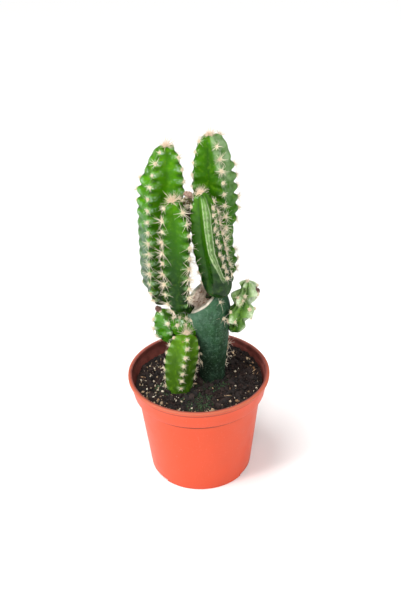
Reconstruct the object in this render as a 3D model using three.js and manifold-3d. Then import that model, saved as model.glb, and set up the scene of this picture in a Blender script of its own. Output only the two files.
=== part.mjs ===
import * as THREE from "three";
import { mergeVertices } from "three/addons/utils/BufferGeometryUtils.js";
import Module from "manifold-3d";

// A potted tall cactus. Millimetres, +Z up, origin on the ground under the middle of the pot.
// The viewer stands on the -Y side, so front is -Y and right is +X.

// Pot: a thin moulded pot with a rolled lip, a collar, a tapered wall and a foot ring in arcs.
const potHeight = 95.3;
const rimRadius = 60;
const lipHeight = 3.2;
const lipOverhang = 1.3;
const lipWidth = 3.4;
const collarHeight = 18;
const collarFootRadius = 55.7;
const bodyTopRadius = 52.5;
const bodyFootRadius = 43.8;
const footRadius = 43.1;
const footWidth = 2.6;
const footHeight = 3;
const wallThickness = 1.6;
const potSides = 48;
const footArcs = 3;
const footTurn = 4;
const footNotchWidth = 19;
const footNotchHeight = 2.4;
const lipRound = 0.8;
const footBevel = 1.4;
const heelRound = 0.4;
const drainHoles = 6;
const drainRadius = 3.2;
const drainCircle = 31;
const drainSides = 12;

// Soil: fills the pot to a little under the lip, and is banked up at the back on the right.
const soilLevel = 84.5;
const soilBank = 5.5;
const bankTowards = [0.62, 0.78];
const bankFrom = 20;
const bankTo = 56;
const soilRoughness = 0.7;
const soilRings = 7;
const plugSides = 24;
const neckSides = 12;

// Fits: the gap at every seat, and how clear needles and pads stay of other stems and of the soil
const seatGap = 0.3;
const spineClearance = 1.2;
const padClearance = 3;
const ribAllowance = 1.08;
const soilClearance = 3;

// Areoles and spines. Lengths vary by the spread, as a share; leans are in degrees off the areole's axis.
const areoleSpacing = 9.4;
const areoleRadius = 1.25;
const areoleRise = 0.6;
const padDrop = 0.35;
const spinesPerAreole = 6;
const spineLength = 5.4;
const shortSpineLength = 3.8;
const spineSpread = 0.4;
const leastSpine = 1.5;
const spineLean = 52;
const leanSpread = 16;
const turnSpread = 0.5;
const tuftLength = 5.2;
const tuftLeans = [42, 18];
const firstSeed = 7;

// Sections
const columnsPerRib = 4;
const flankBulge = 0.05;
const roundFrom = 0.75;
const fullNotchRadius = 10;
const fullNotchValley = 0.55;
const outlineSamples = 600;

// Stems. Each station is [x, y, z, crest radius, valley depth as a share of the crest radius],
// from the foot to the tip. turn is the first rib's direction in degrees from the front,
// towards the right. notch is how far the crest dips between two areoles on a full-grown stretch.
// spines is the share of places with an areole, and spineFrom is the height that they start at.
// rowShift moves every ring but the first and the last up the stem, as a share of a row.
const stems = {
  trunk: {
    ribs: 5,
    turn: 18,
    notch: 0.3,
    spines: 0.65,
    spineFrom: 94,
    tuft: false,
    bareRibs: [0, 2],
    stations: [
      [11.5, 9, 52, 0, 1],
      [11.5, 9, 53, 6, 1],
      [11.5, 9, 66, 10.5, 1],
      [11.3, 8.6, 84, 11.4, 1],
      [11.6, 8.2, 96, 11.3, 0.93],
      [12.4, 8, 116, 12.6, 0.92],
      [11.4, 8, 136, 15, 0.92],
      [10, 8, 149, 17.2, 0.93],
      [10, 8, 160, 16.8, 0.95],
      [10.8, 8, 169, 13.8, 1],
      [11.4, 8, 174.5, 8, 1],
      [11.5, 8, 176, 0, 1],
    ],
  },
  stem_back_left: {
    ribs: 4,
    turn: -33,
    notch: 2.3,
    spines: 1,
    spineFrom: 158,
    tuft: true,
    stations: [
      [-27.5, 24, 149, 0, 0.9],
      [-27.4, 24, 151, 7, 0.85],
      [-27, 24, 158, 13.5, 0.7],
      [-26.6, 24, 170, 18.5, 0.58],
      [-26, 24, 195, 20.6, 0.55],
      [-25.4, 24, 225, 21, 0.55],
      [-24.6, 24, 250, 20.8, 0.55],
      [-23, 24, 268, 18.6, 0.56],
      [-21.6, 24, 281, 15, 0.62],
      [-20.8, 24, 288, 9.5, 0.72],
      [-20.4, 24, 290.5, 0, 0.85],
    ],
    neck: { from: [-24, 22, 168], to: [2, 11, 146], radius: 8.5, endRadius: 7 },
  },
  stem_back_right: {
    ribs: 4,
    turn: 25,
    notch: 2.5,
    spines: 1,
    spineFrom: 172,
    tuft: true,
    ribReach: [1, 1.12, 1.08, 1],
    stations: [
      [20.4, 24, 158, 0, 0.9],
      [20.3, 24, 160, 6, 0.85],
      [20, 24, 168, 11.5, 0.7],
      [18.6, 24, 182, 15.5, 0.58],
      [17.2, 24, 207, 18.2, 0.55],
      [16.6, 24, 234, 18.6, 0.55],
      [15.6, 24, 260, 18.2, 0.55],
      [14.8, 24, 275, 16.4, 0.56],
      [14.4, 24, 286, 14, 0.6],
      [13.4, 24, 295, 9.8, 0.7],
      [12.9, 24, 298.5, 0, 0.85],
    ],
    neck: { from: [20, 23, 174], to: [13, 13, 150], radius: 8, endRadius: 8 },
  },
  stem_front_left: {
    ribs: 4,
    turn: -46,
    notch: 1.5,
    spines: 1,
    spineFrom: 166,
    tuft: true,
    stations: [
      [-12.2, -5.5, 158.5, 0, 0.95],
      [-12.3, -5.6, 160.5, 6.5, 0.9],
      [-13, -6, 167, 11.4, 0.74],
      [-14.6, -6, 177, 14.2, 0.6],
      [-15, -6, 200, 14.8, 0.54],
      [-14.4, -6, 225, 14.8, 0.54],
      [-14.9, -6, 240, 13.6, 0.56],
      [-15.9, -6, 249, 11.4, 0.62],
      [-16.5, -6, 255.5, 7.4, 0.72],
      [-16.7, -6, 258, 0, 0.85],
    ],
    neck: { from: [-13, -5, 168], to: [2, 4, 145], radius: 6.5, endRadius: 6 },
  },
  stem_front_right: {
    ribs: 4,
    turn: 5,
    notch: 1.2,
    spines: 1,
    spineFrom: 188,
    tuft: true,
    bareRibs: [0],
    stations: [
      [17.8, -6, 172, 0, 1],
      [17.8, -6, 173.3, 5.8, 1],
      [17.8, -6, 177.5, 10, 0.97],
      [17, -6, 185, 11.9, 0.86],
      [14.8, -6, 196, 12.4, 0.7],
      [10.9, -6, 215, 12.6, 0.6],
      [8.7, -6, 231, 12, 0.6],
      [7.4, -6, 246, 10.8, 0.62],
      [6.3, -6, 256, 8.4, 0.68],
      [5.4, -6, 262, 5, 0.78],
      [5.1, -6, 264, 0, 0.9],
    ],
    neck: { from: [16.5, -2, 180], to: [12, 9, 160], radius: 6, endRadius: 6 },
  },
  stem_middle: {
    ribs: 4,
    turn: 0,
    notch: 0.8,
    spines: 1,
    spineFrom: 240,
    tuft: true,
    stations: [
      [-5.2, 10.4, 222, 0, 0.9],
      [-5.2, 10.4, 223, 2.2, 0.9],
      [-5, 10.3, 229, 4, 0.75],
      [-4.6, 10, 242, 4.4, 0.68],
      [-4.8, 9.8, 251, 3.6, 0.75],
      [-5, 9.8, 255, 0, 0.9],
    ],
    neck: { from: [-5, 10.4, 230], to: [-14, 15, 222], radius: 2.4, endRadius: 2 },
  },
  pup_front: {
    ribs: 4,
    turn: 7,
    notch: 1.4,
    spines: 1,
    spineFrom: 91,
    tuft: true,
    stations: [
      [-17.6, -8.6, 56, 0, 1],
      [-17.6, -8.6, 57, 4, 1],
      [-17.4, -8.4, 70, 7.6, 1],
      [-17, -8.2, 82, 9, 1],
      [-16.4, -7.8, 89, 10.2, 0.85],
      [-14.9, -6.8, 101, 12.8, 0.68],
      [-12.8, -6, 114, 13.8, 0.64],
      [-10.9, -5.2, 125, 12.4, 0.66],
      [-9.6, -4.7, 133, 8.6, 0.74],
      [-9.2, -4.5, 136.5, 0, 0.9],
    ],
  },
  pup_left: {
    ribs: 4,
    turn: 22,
    notch: 1.3,
    spines: 1,
    spineFrom: 125,
    tuft: true,
    stations: [
      [-23.6, 11, 118.5, 0, 0.95],
      [-23.8, 11, 120, 4.6, 0.9],
      [-24.8, 11, 126.5, 9, 0.75],
      [-26.4, 10.6, 136, 11.2, 0.64],
      [-28.8, 10, 144, 9.4, 0.66],
      [-30.8, 9.6, 149.5, 4.8, 0.78],
      [-31.2, 9.5, 151, 0, 0.9],
    ],
    neck: { from: [-24, 12, 137], to: [4, 12, 133], radius: 8, endRadius: 6 },
  },
  pup_right: {
    ribs: 5,
    turn: 10,
    spacing: 17,
    rowShift: 0.5,
    notch: 8,
    spines: 1,
    spineFrom: 136,
    tuft: true,
    stations: [
      [30, 6, 130.5, 0, 0.9],
      [30.4, 6, 132, 6.5, 0.8],
      [32.4, 6, 140, 11.6, 0.66],
      [35.4, 6, 151, 13, 0.62],
      [38.6, 6, 162, 12, 0.62],
      [40.4, 6, 170, 10.8, 0.64],
      [41.4, 6, 176.5, 6, 0.75],
      [41.7, 6, 178.5, 0, 0.9],
    ],
    neck: { from: [33, 6.4, 148], to: [14, 8, 142], radius: 7, endRadius: 6 },
  },
};

// The scar: the trunk's top is cut off to a plane that faces up and to the left, then dished.
const scarPoint = new THREE.Vector3(1, 6, 161.7);
const scarNormal = new THREE.Vector3(-0.67, 0.1, 0.74).normalize();
const scarDishRadius = 26;
const scarDishDepth = 1.8;
const scarCutSize = 80;

// Colours, with roughness
const finishes = {
  pot: ["#f0643f", 0.55],
  soil: ["#35291f", 0.95],
  trunk: ["#3f5e49", 0.6],
  stem_back_left: ["#5b9427", 0.45],
  stem_back_right: ["#4f8a22", 0.45],
  stem_front_left: ["#4c8a1c", 0.4],
  stem_front_right: ["#3f7a2e", 0.35],
  stem_middle: ["#7a6a50", 0.7],
  pup_front: ["#5f9a36", 0.45],
  pup_left: ["#5a9a32", 0.4],
  pup_right: ["#8db06a", 0.5],
};

const wasm = await Module();
wasm.setup();

// Seeded random numbers from 0 to 1
function randomSource(seed) {
  let state = seed;
  return () => {
    state = (state + 0x6d2b79f5) | 0;
    let t = Math.imul(state ^ (state >>> 15), 1 | state);
    t = (t + Math.imul(t ^ (t >>> 7), 61 | t)) ^ t;
    return ((t ^ (t >>> 14)) >>> 0) / 4294967296;
  };
}

// A closed three.js geometry as a solid
function solidOf(geometry) {
  const bare = geometry.clone();
  bare.deleteAttribute("normal");
  bare.deleteAttribute("uv");
  const merged = mergeVertices(bare, 1e-4);
  return new wasm.Manifold(
    new wasm.Mesh({
      numProp: 3,
      vertProperties: new Float32Array(merged.attributes.position.array),
      triVerts: new Uint32Array(merged.index.array),
    }),
  );
}

// A closed surface from its points and its faces
function surfaceOf(points, faces) {
  const geometry = new THREE.BufferGeometry();
  const places = points.flatMap((point) => point.toArray());
  geometry.setAttribute("position", new THREE.Float32BufferAttribute(places, 3));
  geometry.setIndex(faces.flat());
  return geometry;
}

// The largest body of a solid, as a named mesh with its own finish
function namedMesh(name, solid) {
  const bodies = solid.decompose().sort((a, b) => b.volume() - a.volume());
  const cut = bodies[0].getMesh();
  const points = [];
  for (let i = 0; i < cut.numVert; i++) {
    points.push(...cut.vertProperties.subarray(i * cut.numProp, i * cut.numProp + 3));
  }
  const geometry = new THREE.BufferGeometry();
  geometry.setAttribute("position", new THREE.Float32BufferAttribute(points, 3));
  geometry.setIndex(new THREE.BufferAttribute(new Uint32Array(cut.triVerts), 1));
  geometry.computeVertexNormals();
  const [color, roughness] = finishes[name];
  const material = new THREE.MeshStandardMaterial({ color, roughness, metalness: 0 });
  const mesh = new THREE.Mesh(geometry, material);
  mesh.name = name;
  return mesh;
}

// A smooth curve through the stations, at u from 0 to 1
function stationAt(stations, u) {
  const last = stations.length - 1;
  const span = Math.min(Math.floor(u * last), last - 1);
  const t = u * last - span;
  const before = stations[Math.max(span - 1, 0)];
  const from = stations[span];
  const to = stations[span + 1];
  const after = stations[Math.min(span + 2, last)];
  return from.map((value, i) => {
    const slopeFrom = (to[i] - before[i]) / 2;
    const slopeTo = (after[i] - value) / 2;
    const rise = to[i] - value;
    const square = 3 * rise - 2 * slopeFrom - slopeTo;
    const cube = slopeFrom + slopeTo - 2 * rise;
    return value + t * (slopeFrom + t * (square + t * cube));
  });
}

// Rings along a stem, evenly spaced along its outline, each with a frame of its own
function stemRings(stem) {
  const samples = [];
  let length = 0;
  for (let i = 0; i <= outlineSamples; i++) {
    const [x, y, z, radius, valley] = stationAt(stem.stations, i / outlineSamples);
    const centre = new THREE.Vector3(x, y, z);
    const before = samples[i - 1];
    if (before) length += Math.hypot(centre.distanceTo(before.centre), radius - before.radius);
    samples.push({ centre, radius: Math.max(radius, 0), valley: Math.min(valley, 1), length });
  }
  const count = Math.round(length / ((stem.spacing || areoleSpacing) / 2));
  const rings = [];
  for (let i = 0; i <= count; i++) {
    const shift = i > 0 ? stem.rowShift || 0 : 0;
    const wanted = (length * (i + shift)) / count;
    let at = samples.findIndex((s) => s.length >= wanted - 1e-6);
    if (at < 0 || i === count) at = outlineSamples;
    const here = samples[at];
    const low = samples[Math.max(at - 3, 0)];
    const high = samples[Math.min(at + 3, outlineSamples)];
    const along = high.centre.clone().sub(low.centre);
    const tangent = along.clone().normalize();
    const front = new THREE.Vector3(0, -1, 0).projectOnPlane(tangent).normalize();
    const side = new THREE.Vector3().crossVectors(tangent, front);
    const flare = Math.atan2(high.radius - low.radius, along.length());
    rings.push({ ...here, tangent, front, side, flare });
  }
  return rings;
}

// The direction out of a ring, at an angle in degrees from the front towards the right
function outward(ring, degrees) {
  const a = THREE.MathUtils.degToRad(degrees);
  return ring.front.clone().multiplyScalar(Math.cos(a)).addScaledVector(ring.side, Math.sin(a));
}

// One point of a ribbed section: every fourth column is a crest, with a valley two columns on
function sectionPoint(stem, ring, row, column, swell) {
  const rib = Math.floor(column / columnsPerRib);
  const place = column % columnsPerRib;
  const step = 360 / stem.ribs;
  const reach = stem.ribReach || [];
  const crestReach = (index) => ring.radius * (reach[index % stem.ribs] || 1);
  const crestOf = (index) => outward(ring, stem.turn + index * step).multiplyScalar(crestReach(index));
  const grown = Math.min(1, ring.radius / fullNotchRadius);
  const depth = (stem.notch * grown * (1 - ring.valley)) / (1 - fullNotchValley);
  const valley = outward(ring, stem.turn + (rib + 0.5) * step);
  valley.multiplyScalar(ring.radius * ring.valley);
  let offset;
  if (place === 0) {
    offset = crestOf(rib);
    if ((row + rib) % 2) offset.setLength(Math.max(offset.length() - depth, 0));
  } else if (place === 2) {
    offset = valley;
  } else {
    const crest = crestOf(place === 1 ? rib : rib + 1);
    const round = 1 / Math.cos(Math.PI / 2 / stem.ribs) - 1;
    const share = THREE.MathUtils.smoothstep(ring.valley, roundFrom, 1);
    const bulge = THREE.MathUtils.lerp(flankBulge, round, share);
    offset = crest.add(valley).multiplyScalar(0.5 * (1 + bulge));
  }
  if (swell) offset.setLength(offset.length() + swell);
  return ring.centre.clone().add(offset);
}

// The space that each stem takes up, and then the space of each neck
const neckRing = (place, radius) => ({ centre: new THREE.Vector3(...place), radius });
const envelopes = Object.entries(stems).map(([name, stem]) => [name, stemRings(stem)]);
for (const [name, { neck }] of Object.entries(stems)) {
  if (!neck) continue;
  envelopes.push([name, [neckRing(neck.from, neck.radius), neckRing(neck.to, neck.endRadius)]]);
}
const ringsOf = (name) => envelopes.find(([other]) => other === name)[1];

// Whether a point keeps clear of the soil and of every stem and neck but its own
function isClear(point, name, margin) {
  if (point.z < soilLevel + soilClearance) return false;
  return envelopes.every(([other, rings]) => {
    if (other === name) return true;
    return rings.every((ring, i) => {
      const next = rings[i + 1];
      if (!next) return true;
      const line = new THREE.Line3(ring.centre, next.centre);
      const t = line.closestPointToPointParameter(point, true);
      const gap = line.at(t, new THREE.Vector3()).distanceTo(point);
      return gap > THREE.MathUtils.lerp(ring.radius, next.radius, t) * ribAllowance + margin;
    });
  });
}

// A length's factor, spread round 1
const varied = (random) => 1 + spineSpread * (random() - 0.5);

// A three-sided needle raised from one triangle of the surface, shortened until it stands clear
function raiseNeedle(points, faces, triangle, direction, length, clear) {
  const middle = new THREE.Vector3();
  triangle.forEach((i) => middle.addScaledVector(points[i], 1 / 3));
  let reach = length;
  const standsClear = (share) => clear(middle.clone().addScaledVector(direction, reach * share));
  while (reach > leastSpine && ![0.1, 0.3, 0.5, 0.75, 1].every(standsClear)) reach *= 0.8;
  if (reach <= leastSpine) {
    faces.push(triangle);
    return;
  }
  const [a, b, c] = triangle;
  const apex = points.push(middle.addScaledVector(direction, reach)) - 1;
  faces.push([a, b, apex], [b, c, apex], [c, a, apex]);
}

// An areole: a small raised pad in place of a crest point, with a needle on each of its sectors
function addAreole(points, faces, loop, crest, frame, random, clear) {
  const { out, up, right } = frame;
  const pad = [];
  const sector = 360 / spinesPerAreole;
  const rayAt = (degrees) => {
    const a = THREE.MathUtils.degToRad(degrees);
    return right.clone().multiplyScalar(Math.cos(a)).addScaledVector(up, Math.sin(a));
  };
  points[crest].addScaledVector(out, areoleRise);
  for (let i = 0; i < spinesPerAreole; i++) {
    const ray = rayAt((i + 0.5) * sector).multiplyScalar(areoleRadius);
    pad.push(points.push(points[crest].clone().add(ray).addScaledVector(out, -padDrop)) - 1);
  }
  const loopStart = 225;
  const start = Math.round(loopStart / sector);
  let outer = 0;
  let inner = 0;
  while (outer < loop.length || inner < pad.length) {
    const nextOuter = loopStart + ((outer + 1) * 360) / loop.length;
    const nextInner = loopStart + (inner + 1) * sector;
    const a = loop[outer % loop.length];
    const b = pad[(start + inner) % pad.length];
    if (inner >= pad.length || (outer < loop.length && nextOuter <= nextInner)) {
      faces.push([a, loop[(outer + 1) % loop.length], b]);
      outer++;
    } else {
      faces.push([b, a, pad[(start + inner + 1) % pad.length]]);
      inner++;
    }
  }
  pad.forEach((from, i) => {
    const to = pad[(i + 1) % pad.length];
    const azimuth = (i + 1) * sector + (random() - 0.5) * sector * turnSpread;
    const alongRib = Math.abs(Math.sin(THREE.MathUtils.degToRad(azimuth)));
    const lean = THREE.MathUtils.degToRad(spineLean + (random() - 0.5) * leanSpread);
    const length = THREE.MathUtils.lerp(spineLength, shortSpineLength, alongRib);
    const direction = out.clone().multiplyScalar(Math.cos(lean));
    direction.addScaledVector(rayAt(azimuth), Math.sin(lean));
    raiseNeedle(points, faces, [crest, from, to], direction, length * varied(random), clear);
  });
}

// The tuft at a tip: a needle on each triangle round the pole
function addTuft(points, faces, ring, pole, tip, random, clear) {
  ring.forEach((from, i) => {
    const to = ring[(i + 1) % ring.length];
    const ray = points[from].clone().add(points[to]).multiplyScalar(0.5).sub(points[pole]).normalize();
    const lean = THREE.MathUtils.degToRad(tuftLeans[i % tuftLeans.length]);
    const direction = tip.tangent.clone().multiplyScalar(Math.cos(lean));
    direction.addScaledVector(ray, Math.sin(lean));
    raiseNeedle(points, faces, [from, to, pole], direction, tuftLength * varied(random), clear);
  });
}

// The skin of a stem. With swell it is a plain, spineless body that stands proud by that much.
function stemSkin(name, stem, swell) {
  const random = randomSource(firstSeed + Object.keys(stems).indexOf(name));
  const rings = ringsOf(name);
  const columns = stem.ribs * columnsPerRib;
  const last = rings.length - 1;
  const points = [rings[0].centre.clone().addScaledVector(rings[0].tangent, -swell)];
  const faces = [];
  const at = (row, column) => 1 + (row - 1) * columns + ((column + columns) % columns);
  for (let row = 1; row < last; row++) {
    for (let column = 0; column < columns; column++) {
      points.push(sectionPoint(stem, rings[row], row, column, swell));
    }
  }
  const pole = points.push(rings[last].centre.clone().addScaledVector(rings[last].tangent, swell)) - 1;
  const clear = (point) => isClear(point, name, spineClearance);
  const bearsAreole = (row, column) =>
    !swell &&
    (row + column / columnsPerRib) % 2 === 0 &&
    rings[row].centre.z > stem.spineFrom &&
    !(stem.bareRibs || []).includes(column / columnsPerRib);
  const taken = new Set();
  for (let row = 2; row < last - 1; row++) {
    for (let column = 0; column < columns; column += columnsPerRib) {
      if (!bearsAreole(row, column) || random() > stem.spines) continue;
      if (!isClear(points[at(row, column)], name, padClearance)) continue;
      const loop = [
        at(row - 1, column - 1),
        at(row - 1, column),
        at(row - 1, column + 1),
        at(row, column + 1),
        at(row + 1, column + 1),
        at(row + 1, column),
        at(row + 1, column - 1),
        at(row, column - 1),
      ];
      [row - 1, row].forEach((r) => {
        taken.add(r + ":" + ((column - 1 + columns) % columns));
        taken.add(r + ":" + column);
      });
      const ring = rings[row];
      const radial = outward(ring, stem.turn + (column * 360) / columns);
      const out = radial.clone().multiplyScalar(Math.cos(ring.flare));
      out.addScaledVector(ring.tangent, -Math.sin(ring.flare));
      const up = ring.tangent.clone().multiplyScalar(Math.cos(ring.flare));
      up.addScaledVector(radial, Math.sin(ring.flare));
      const right = new THREE.Vector3().crossVectors(up, out);
      addAreole(points, faces, loop, at(row, column), { out, up, right }, random, clear);
    }
  }
  for (let row = 1; row < last - 1; row++) {
    for (let column = 0; column < columns; column++) {
      if (taken.has(row + ":" + column)) continue;
      const [a, b] = [at(row, column), at(row, column + 1)];
      const [c, d] = [at(row + 1, column + 1), at(row + 1, column)];
      faces.push([a, b, c], [a, c, d]);
    }
  }
  const topRing = [];
  for (let column = 0; column < columns; column++) {
    faces.push([0, at(1, column + 1), at(1, column)]);
    topRing.push(at(last - 1, column));
  }
  if (stem.tuft && !swell) {
    addTuft(points, faces, topRing, pole, rings[last - 1], random, clear);
  } else {
    topRing.forEach((from, i) => faces.push([from, topRing[(i + 1) % columns], pole]));
  }
  return solidOf(surfaceOf(points, faces));
}

// The short neck by which a branch grows out of its carrier
function neckOf({ from, to, radius, endRadius }) {
  const start = new THREE.Vector3(...from);
  const end = new THREE.Vector3(...to);
  const geometry = new THREE.CylinderGeometry(endRadius, radius, start.distanceTo(end), neckSides);
  const turn = new THREE.Quaternion();
  turn.setFromUnitVectors(new THREE.Vector3(0, 1, 0), end.clone().sub(start).normalize());
  geometry.applyQuaternion(turn);
  const middle = start.add(end).multiplyScalar(0.5);
  geometry.translate(...middle.toArray());
  return solidOf(geometry);
}

// Everything above the scar's plane, and the shallow dish pressed into it
function scarCut() {
  const box = new THREE.BoxGeometry(scarCutSize, scarCutSize, scarCutSize);
  box.translate(0, 0, scarCutSize / 2);
  const turn = new THREE.Quaternion().setFromUnitVectors(new THREE.Vector3(0, 0, 1), scarNormal);
  box.applyQuaternion(turn);
  box.translate(...scarPoint.toArray());
  const ball = new THREE.SphereGeometry(scarDishRadius, 36, 24);
  const middle = scarPoint.clone().addScaledVector(scarNormal, scarDishRadius - scarDishDepth);
  ball.translate(...middle.toArray());
  return solidOf(box).add(solidOf(ball));
}

// The pot
function potSolid() {
  const shoulder = potHeight - collarHeight;
  const lipFoot = potHeight - lipHeight;
  const collarTop = rimRadius - lipOverhang;
  const floorTop = footHeight + wallThickness;
  const inner = (radius) => radius - wallThickness;
  const outline = [
    [0, footHeight],
    [footRadius - footWidth, footHeight],
    [footRadius - footWidth, 0],
    [footRadius, 0],
    [bodyFootRadius, footBevel],
    [bodyTopRadius, shoulder],
    [collarFootRadius, shoulder],
    [collarTop, lipFoot],
    [rimRadius - lipRound / 4, lipFoot + lipRound / 4],
    [rimRadius, potHeight - lipRound],
    [rimRadius - lipRound, potHeight],
    [rimRadius - lipWidth + lipRound, potHeight],
    [rimRadius - lipWidth, potHeight - lipRound],
    [inner(collarTop), lipFoot - lipRound],
    [inner(collarFootRadius), shoulder + wallThickness],
    [inner(bodyTopRadius), shoulder],
    [inner(bodyFootRadius) + heelRound, floorTop],
    [0, floorTop],
  ];
  const profile = outline.map(([radius, height]) => new THREE.Vector2(radius, height));
  const lathe = new THREE.LatheGeometry(profile, potSides);
  lathe.rotateX(Math.PI / 2);
  let pot = solidOf(lathe);
  for (let i = 0; i < footArcs; i++) {
    const angle = footTurn - 90 + ((i + 0.5) * 360) / footArcs;
    const notch = new THREE.BoxGeometry(4 * footWidth, footNotchWidth, 2 * footNotchHeight);
    notch.translate(footRadius, 0, 0);
    notch.rotateZ(THREE.MathUtils.degToRad(angle));
    pot = pot.subtract(solidOf(notch));
  }
  for (let i = 0; i < drainHoles; i++) {
    const hole = new THREE.CylinderGeometry(drainRadius, drainRadius, 4 * footHeight, drainSides);
    hole.rotateX(Math.PI / 2);
    hole.translate(drainCircle, 0, 0);
    hole.rotateZ(((i + 0.5) * 2 * Math.PI) / drainHoles);
    pot = pot.subtract(solidOf(hole));
  }
  return pot;
}

// The height of the soil at a place
function soilHeight(x, y) {
  const bank = THREE.MathUtils.smoothstep(bankTowards[0] * x + bankTowards[1] * y, bankFrom, bankTo);
  const swells = Math.sin(x * 0.42 + 1.3) * Math.cos(y * 0.37);
  const crumbs = 0.6 * Math.sin(x * 0.9 - y * 0.8);
  return soilLevel + soilBank * bank + soilRoughness * (swells + crumbs);
}

// The soil, with plain holes for what stands in it
function soilSolid(plugs) {
  const shoulder = potHeight - collarHeight;
  const innerFoot = bodyFootRadius - wallThickness - seatGap;
  const innerTop = bodyTopRadius - wallThickness - seatGap;
  const collarInner = collarFootRadius - wallThickness - seatGap;
  const points = [new THREE.Vector3(0, 0, footHeight + wallThickness + seatGap)];
  const rows = [];
  const addRow = (radius, heightAt) => {
    const row = [];
    for (let i = 0; i < potSides; i++) {
      const a = (i * 2 * Math.PI) / potSides;
      const [x, y] = [radius * Math.cos(a), radius * Math.sin(a)];
      row.push(points.push(new THREE.Vector3(x, y, heightAt(x, y))) - 1);
    }
    rows.push(row);
  };
  addRow(innerFoot, () => footHeight + wallThickness + seatGap);
  addRow(innerTop, () => shoulder);
  addRow(collarInner, () => shoulder + wallThickness + seatGap);
  for (let i = soilRings; i > 0; i--) addRow((collarInner * i) / soilRings, soilHeight);
  const middle = points.push(new THREE.Vector3(0, 0, soilHeight(0, 0))) - 1;
  const faces = [];
  for (let i = 0; i < potSides; i++) {
    const j = (i + 1) % potSides;
    faces.push([0, rows[0][j], rows[0][i]]);
    for (let r = 0; r + 1 < rows.length; r++) {
      const [low, high] = [rows[r], rows[r + 1]];
      faces.push([low[i], low[j], high[j]], [low[i], high[j], high[i]]);
    }
    const top = rows[rows.length - 1];
    faces.push([top[i], top[j], middle]);
  }
  return plugs.reduce((soil, plug) => soil.subtract(plug), solidOf(surfaceOf(points, faces)));
}

// A round plug a little wider than a buried stem, from its foot to above the soil
function plugOf(name) {
  const buried = ringsOf(name).filter((ring) => ring.centre.z < soilLevel + soilBank);
  const mouth = buried[buried.length - 1];
  const above = mouth.centre.clone().setZ(mouth.centre.z + soilBank);
  const points = [buried[0].centre.clone().setZ(buried[0].centre.z - seatGap)];
  const levels = [...buried.slice(1), { centre: above, radius: mouth.radius }];
  const rows = levels.map(({ centre, radius }) => {
    const reach = radius / Math.cos(Math.PI / plugSides) + seatGap;
    return Array.from({ length: plugSides }, (_, i) => {
      const a = (i * 2 * Math.PI) / plugSides;
      const rim = new THREE.Vector3(reach * Math.cos(a), reach * Math.sin(a), 0);
      return points.push(rim.add(centre)) - 1;
    });
  });
  const lid = points.push(above) - 1;
  const faces = [];
  for (let i = 0; i < plugSides; i++) {
    const j = (i + 1) % plugSides;
    faces.push([0, rows[0][j], rows[0][i]]);
    for (let r = 0; r + 1 < rows.length; r++) {
      const [low, high] = [rows[r], rows[r + 1]];
      faces.push([low[i], low[j], high[j]], [low[i], high[j], high[i]]);
    }
    const top = rows[rows.length - 1];
    faces.push([top[i], top[j], lid]);
  }
  return solidOf(surfaceOf(points, faces));
}

// Assembly
const proud = (name) => stemSkin(name, stems[name], seatGap);
const plant = new THREE.Group();
const carriers = { stem_middle: "stem_back_left" };
for (const [name, stem] of Object.entries(stems)) {
  let body = stemSkin(name, stem, 0);
  if (name === "trunk") body = body.subtract(scarCut());
  if (stem.neck) {
    body = body.add(neckOf(stem.neck)).subtract(proud("trunk"));
    if (carriers[name]) body = body.subtract(proud(carriers[name]));
  }
  plant.add(namedMesh(name, body));
}

const model = new THREE.Group();
model.add(namedMesh("pot", potSolid()));
model.add(namedMesh("soil", soilSolid([plugOf("trunk"), plugOf("pup_front")])));
model.add(plant);

export default model;
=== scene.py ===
import math
import random

import bmesh
import bpy
import numpy as np
from mathutils import Matrix, Vector, noise


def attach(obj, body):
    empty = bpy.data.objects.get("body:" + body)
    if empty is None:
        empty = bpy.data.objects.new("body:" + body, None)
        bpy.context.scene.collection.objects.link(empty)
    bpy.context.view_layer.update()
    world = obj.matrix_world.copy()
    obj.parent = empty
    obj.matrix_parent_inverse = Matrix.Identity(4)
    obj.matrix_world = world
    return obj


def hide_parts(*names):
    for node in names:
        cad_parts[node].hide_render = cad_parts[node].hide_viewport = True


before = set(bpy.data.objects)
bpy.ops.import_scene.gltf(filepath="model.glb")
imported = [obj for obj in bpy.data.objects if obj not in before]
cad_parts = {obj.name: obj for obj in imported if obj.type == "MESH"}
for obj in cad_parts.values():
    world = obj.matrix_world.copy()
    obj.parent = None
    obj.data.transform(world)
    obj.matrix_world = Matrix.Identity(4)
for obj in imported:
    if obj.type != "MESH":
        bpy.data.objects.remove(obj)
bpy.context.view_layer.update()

# A potted tall cactus. Sizes below are in millimetres and are turned to metres as a mesh is made.
# The viewer stands on the -Y side, so front is -Y and right is +X.
mm = 0.001
goldenAngle = 2.39996        # in radians
fullTurn = 6.28              # in radians, for random rolls
print("frame loaded")


# Helpers for node trees

class Wire:
    # What a node gives out, so that a sum in a node tree is written as a sum
    def __init__(self, socket):
        self.socket = socket

    def of(self, key):
        return Wire(pick(self.socket.node.outputs, key))

    def __add__(self, other):
        return calc("ADD", self, other)

    def __sub__(self, other):
        return calc("SUBTRACT", self, other)

    def __rsub__(self, other):
        return calc("SUBTRACT", other, self)

    def __mul__(self, other):
        return calc("MULTIPLY", self, other)

    def __truediv__(self, other):
        return calc("DIVIDE", self, other)


def pick(sockets, key=None):
    # A socket by its place, or the first live one with that name
    if isinstance(key, int):
        return sockets[key]
    return next(s for s in sockets if s.enabled and (key is None or s.name == key))


def add(tree, kind, inputs=None, output=None, **settings):
    # Adds a node, and gives its first live output or the one that is named
    made = tree.nodes.new(kind)
    for key, value in settings.items():
        setattr(made, key, value)
    for key, value in (inputs or {}).items():
        if isinstance(value, Wire):
            tree.links.new(value.socket, pick(made.inputs, key))
        else:
            pick(made.inputs, key).default_value = value
    return Wire(pick(made.outputs, output))


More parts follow.
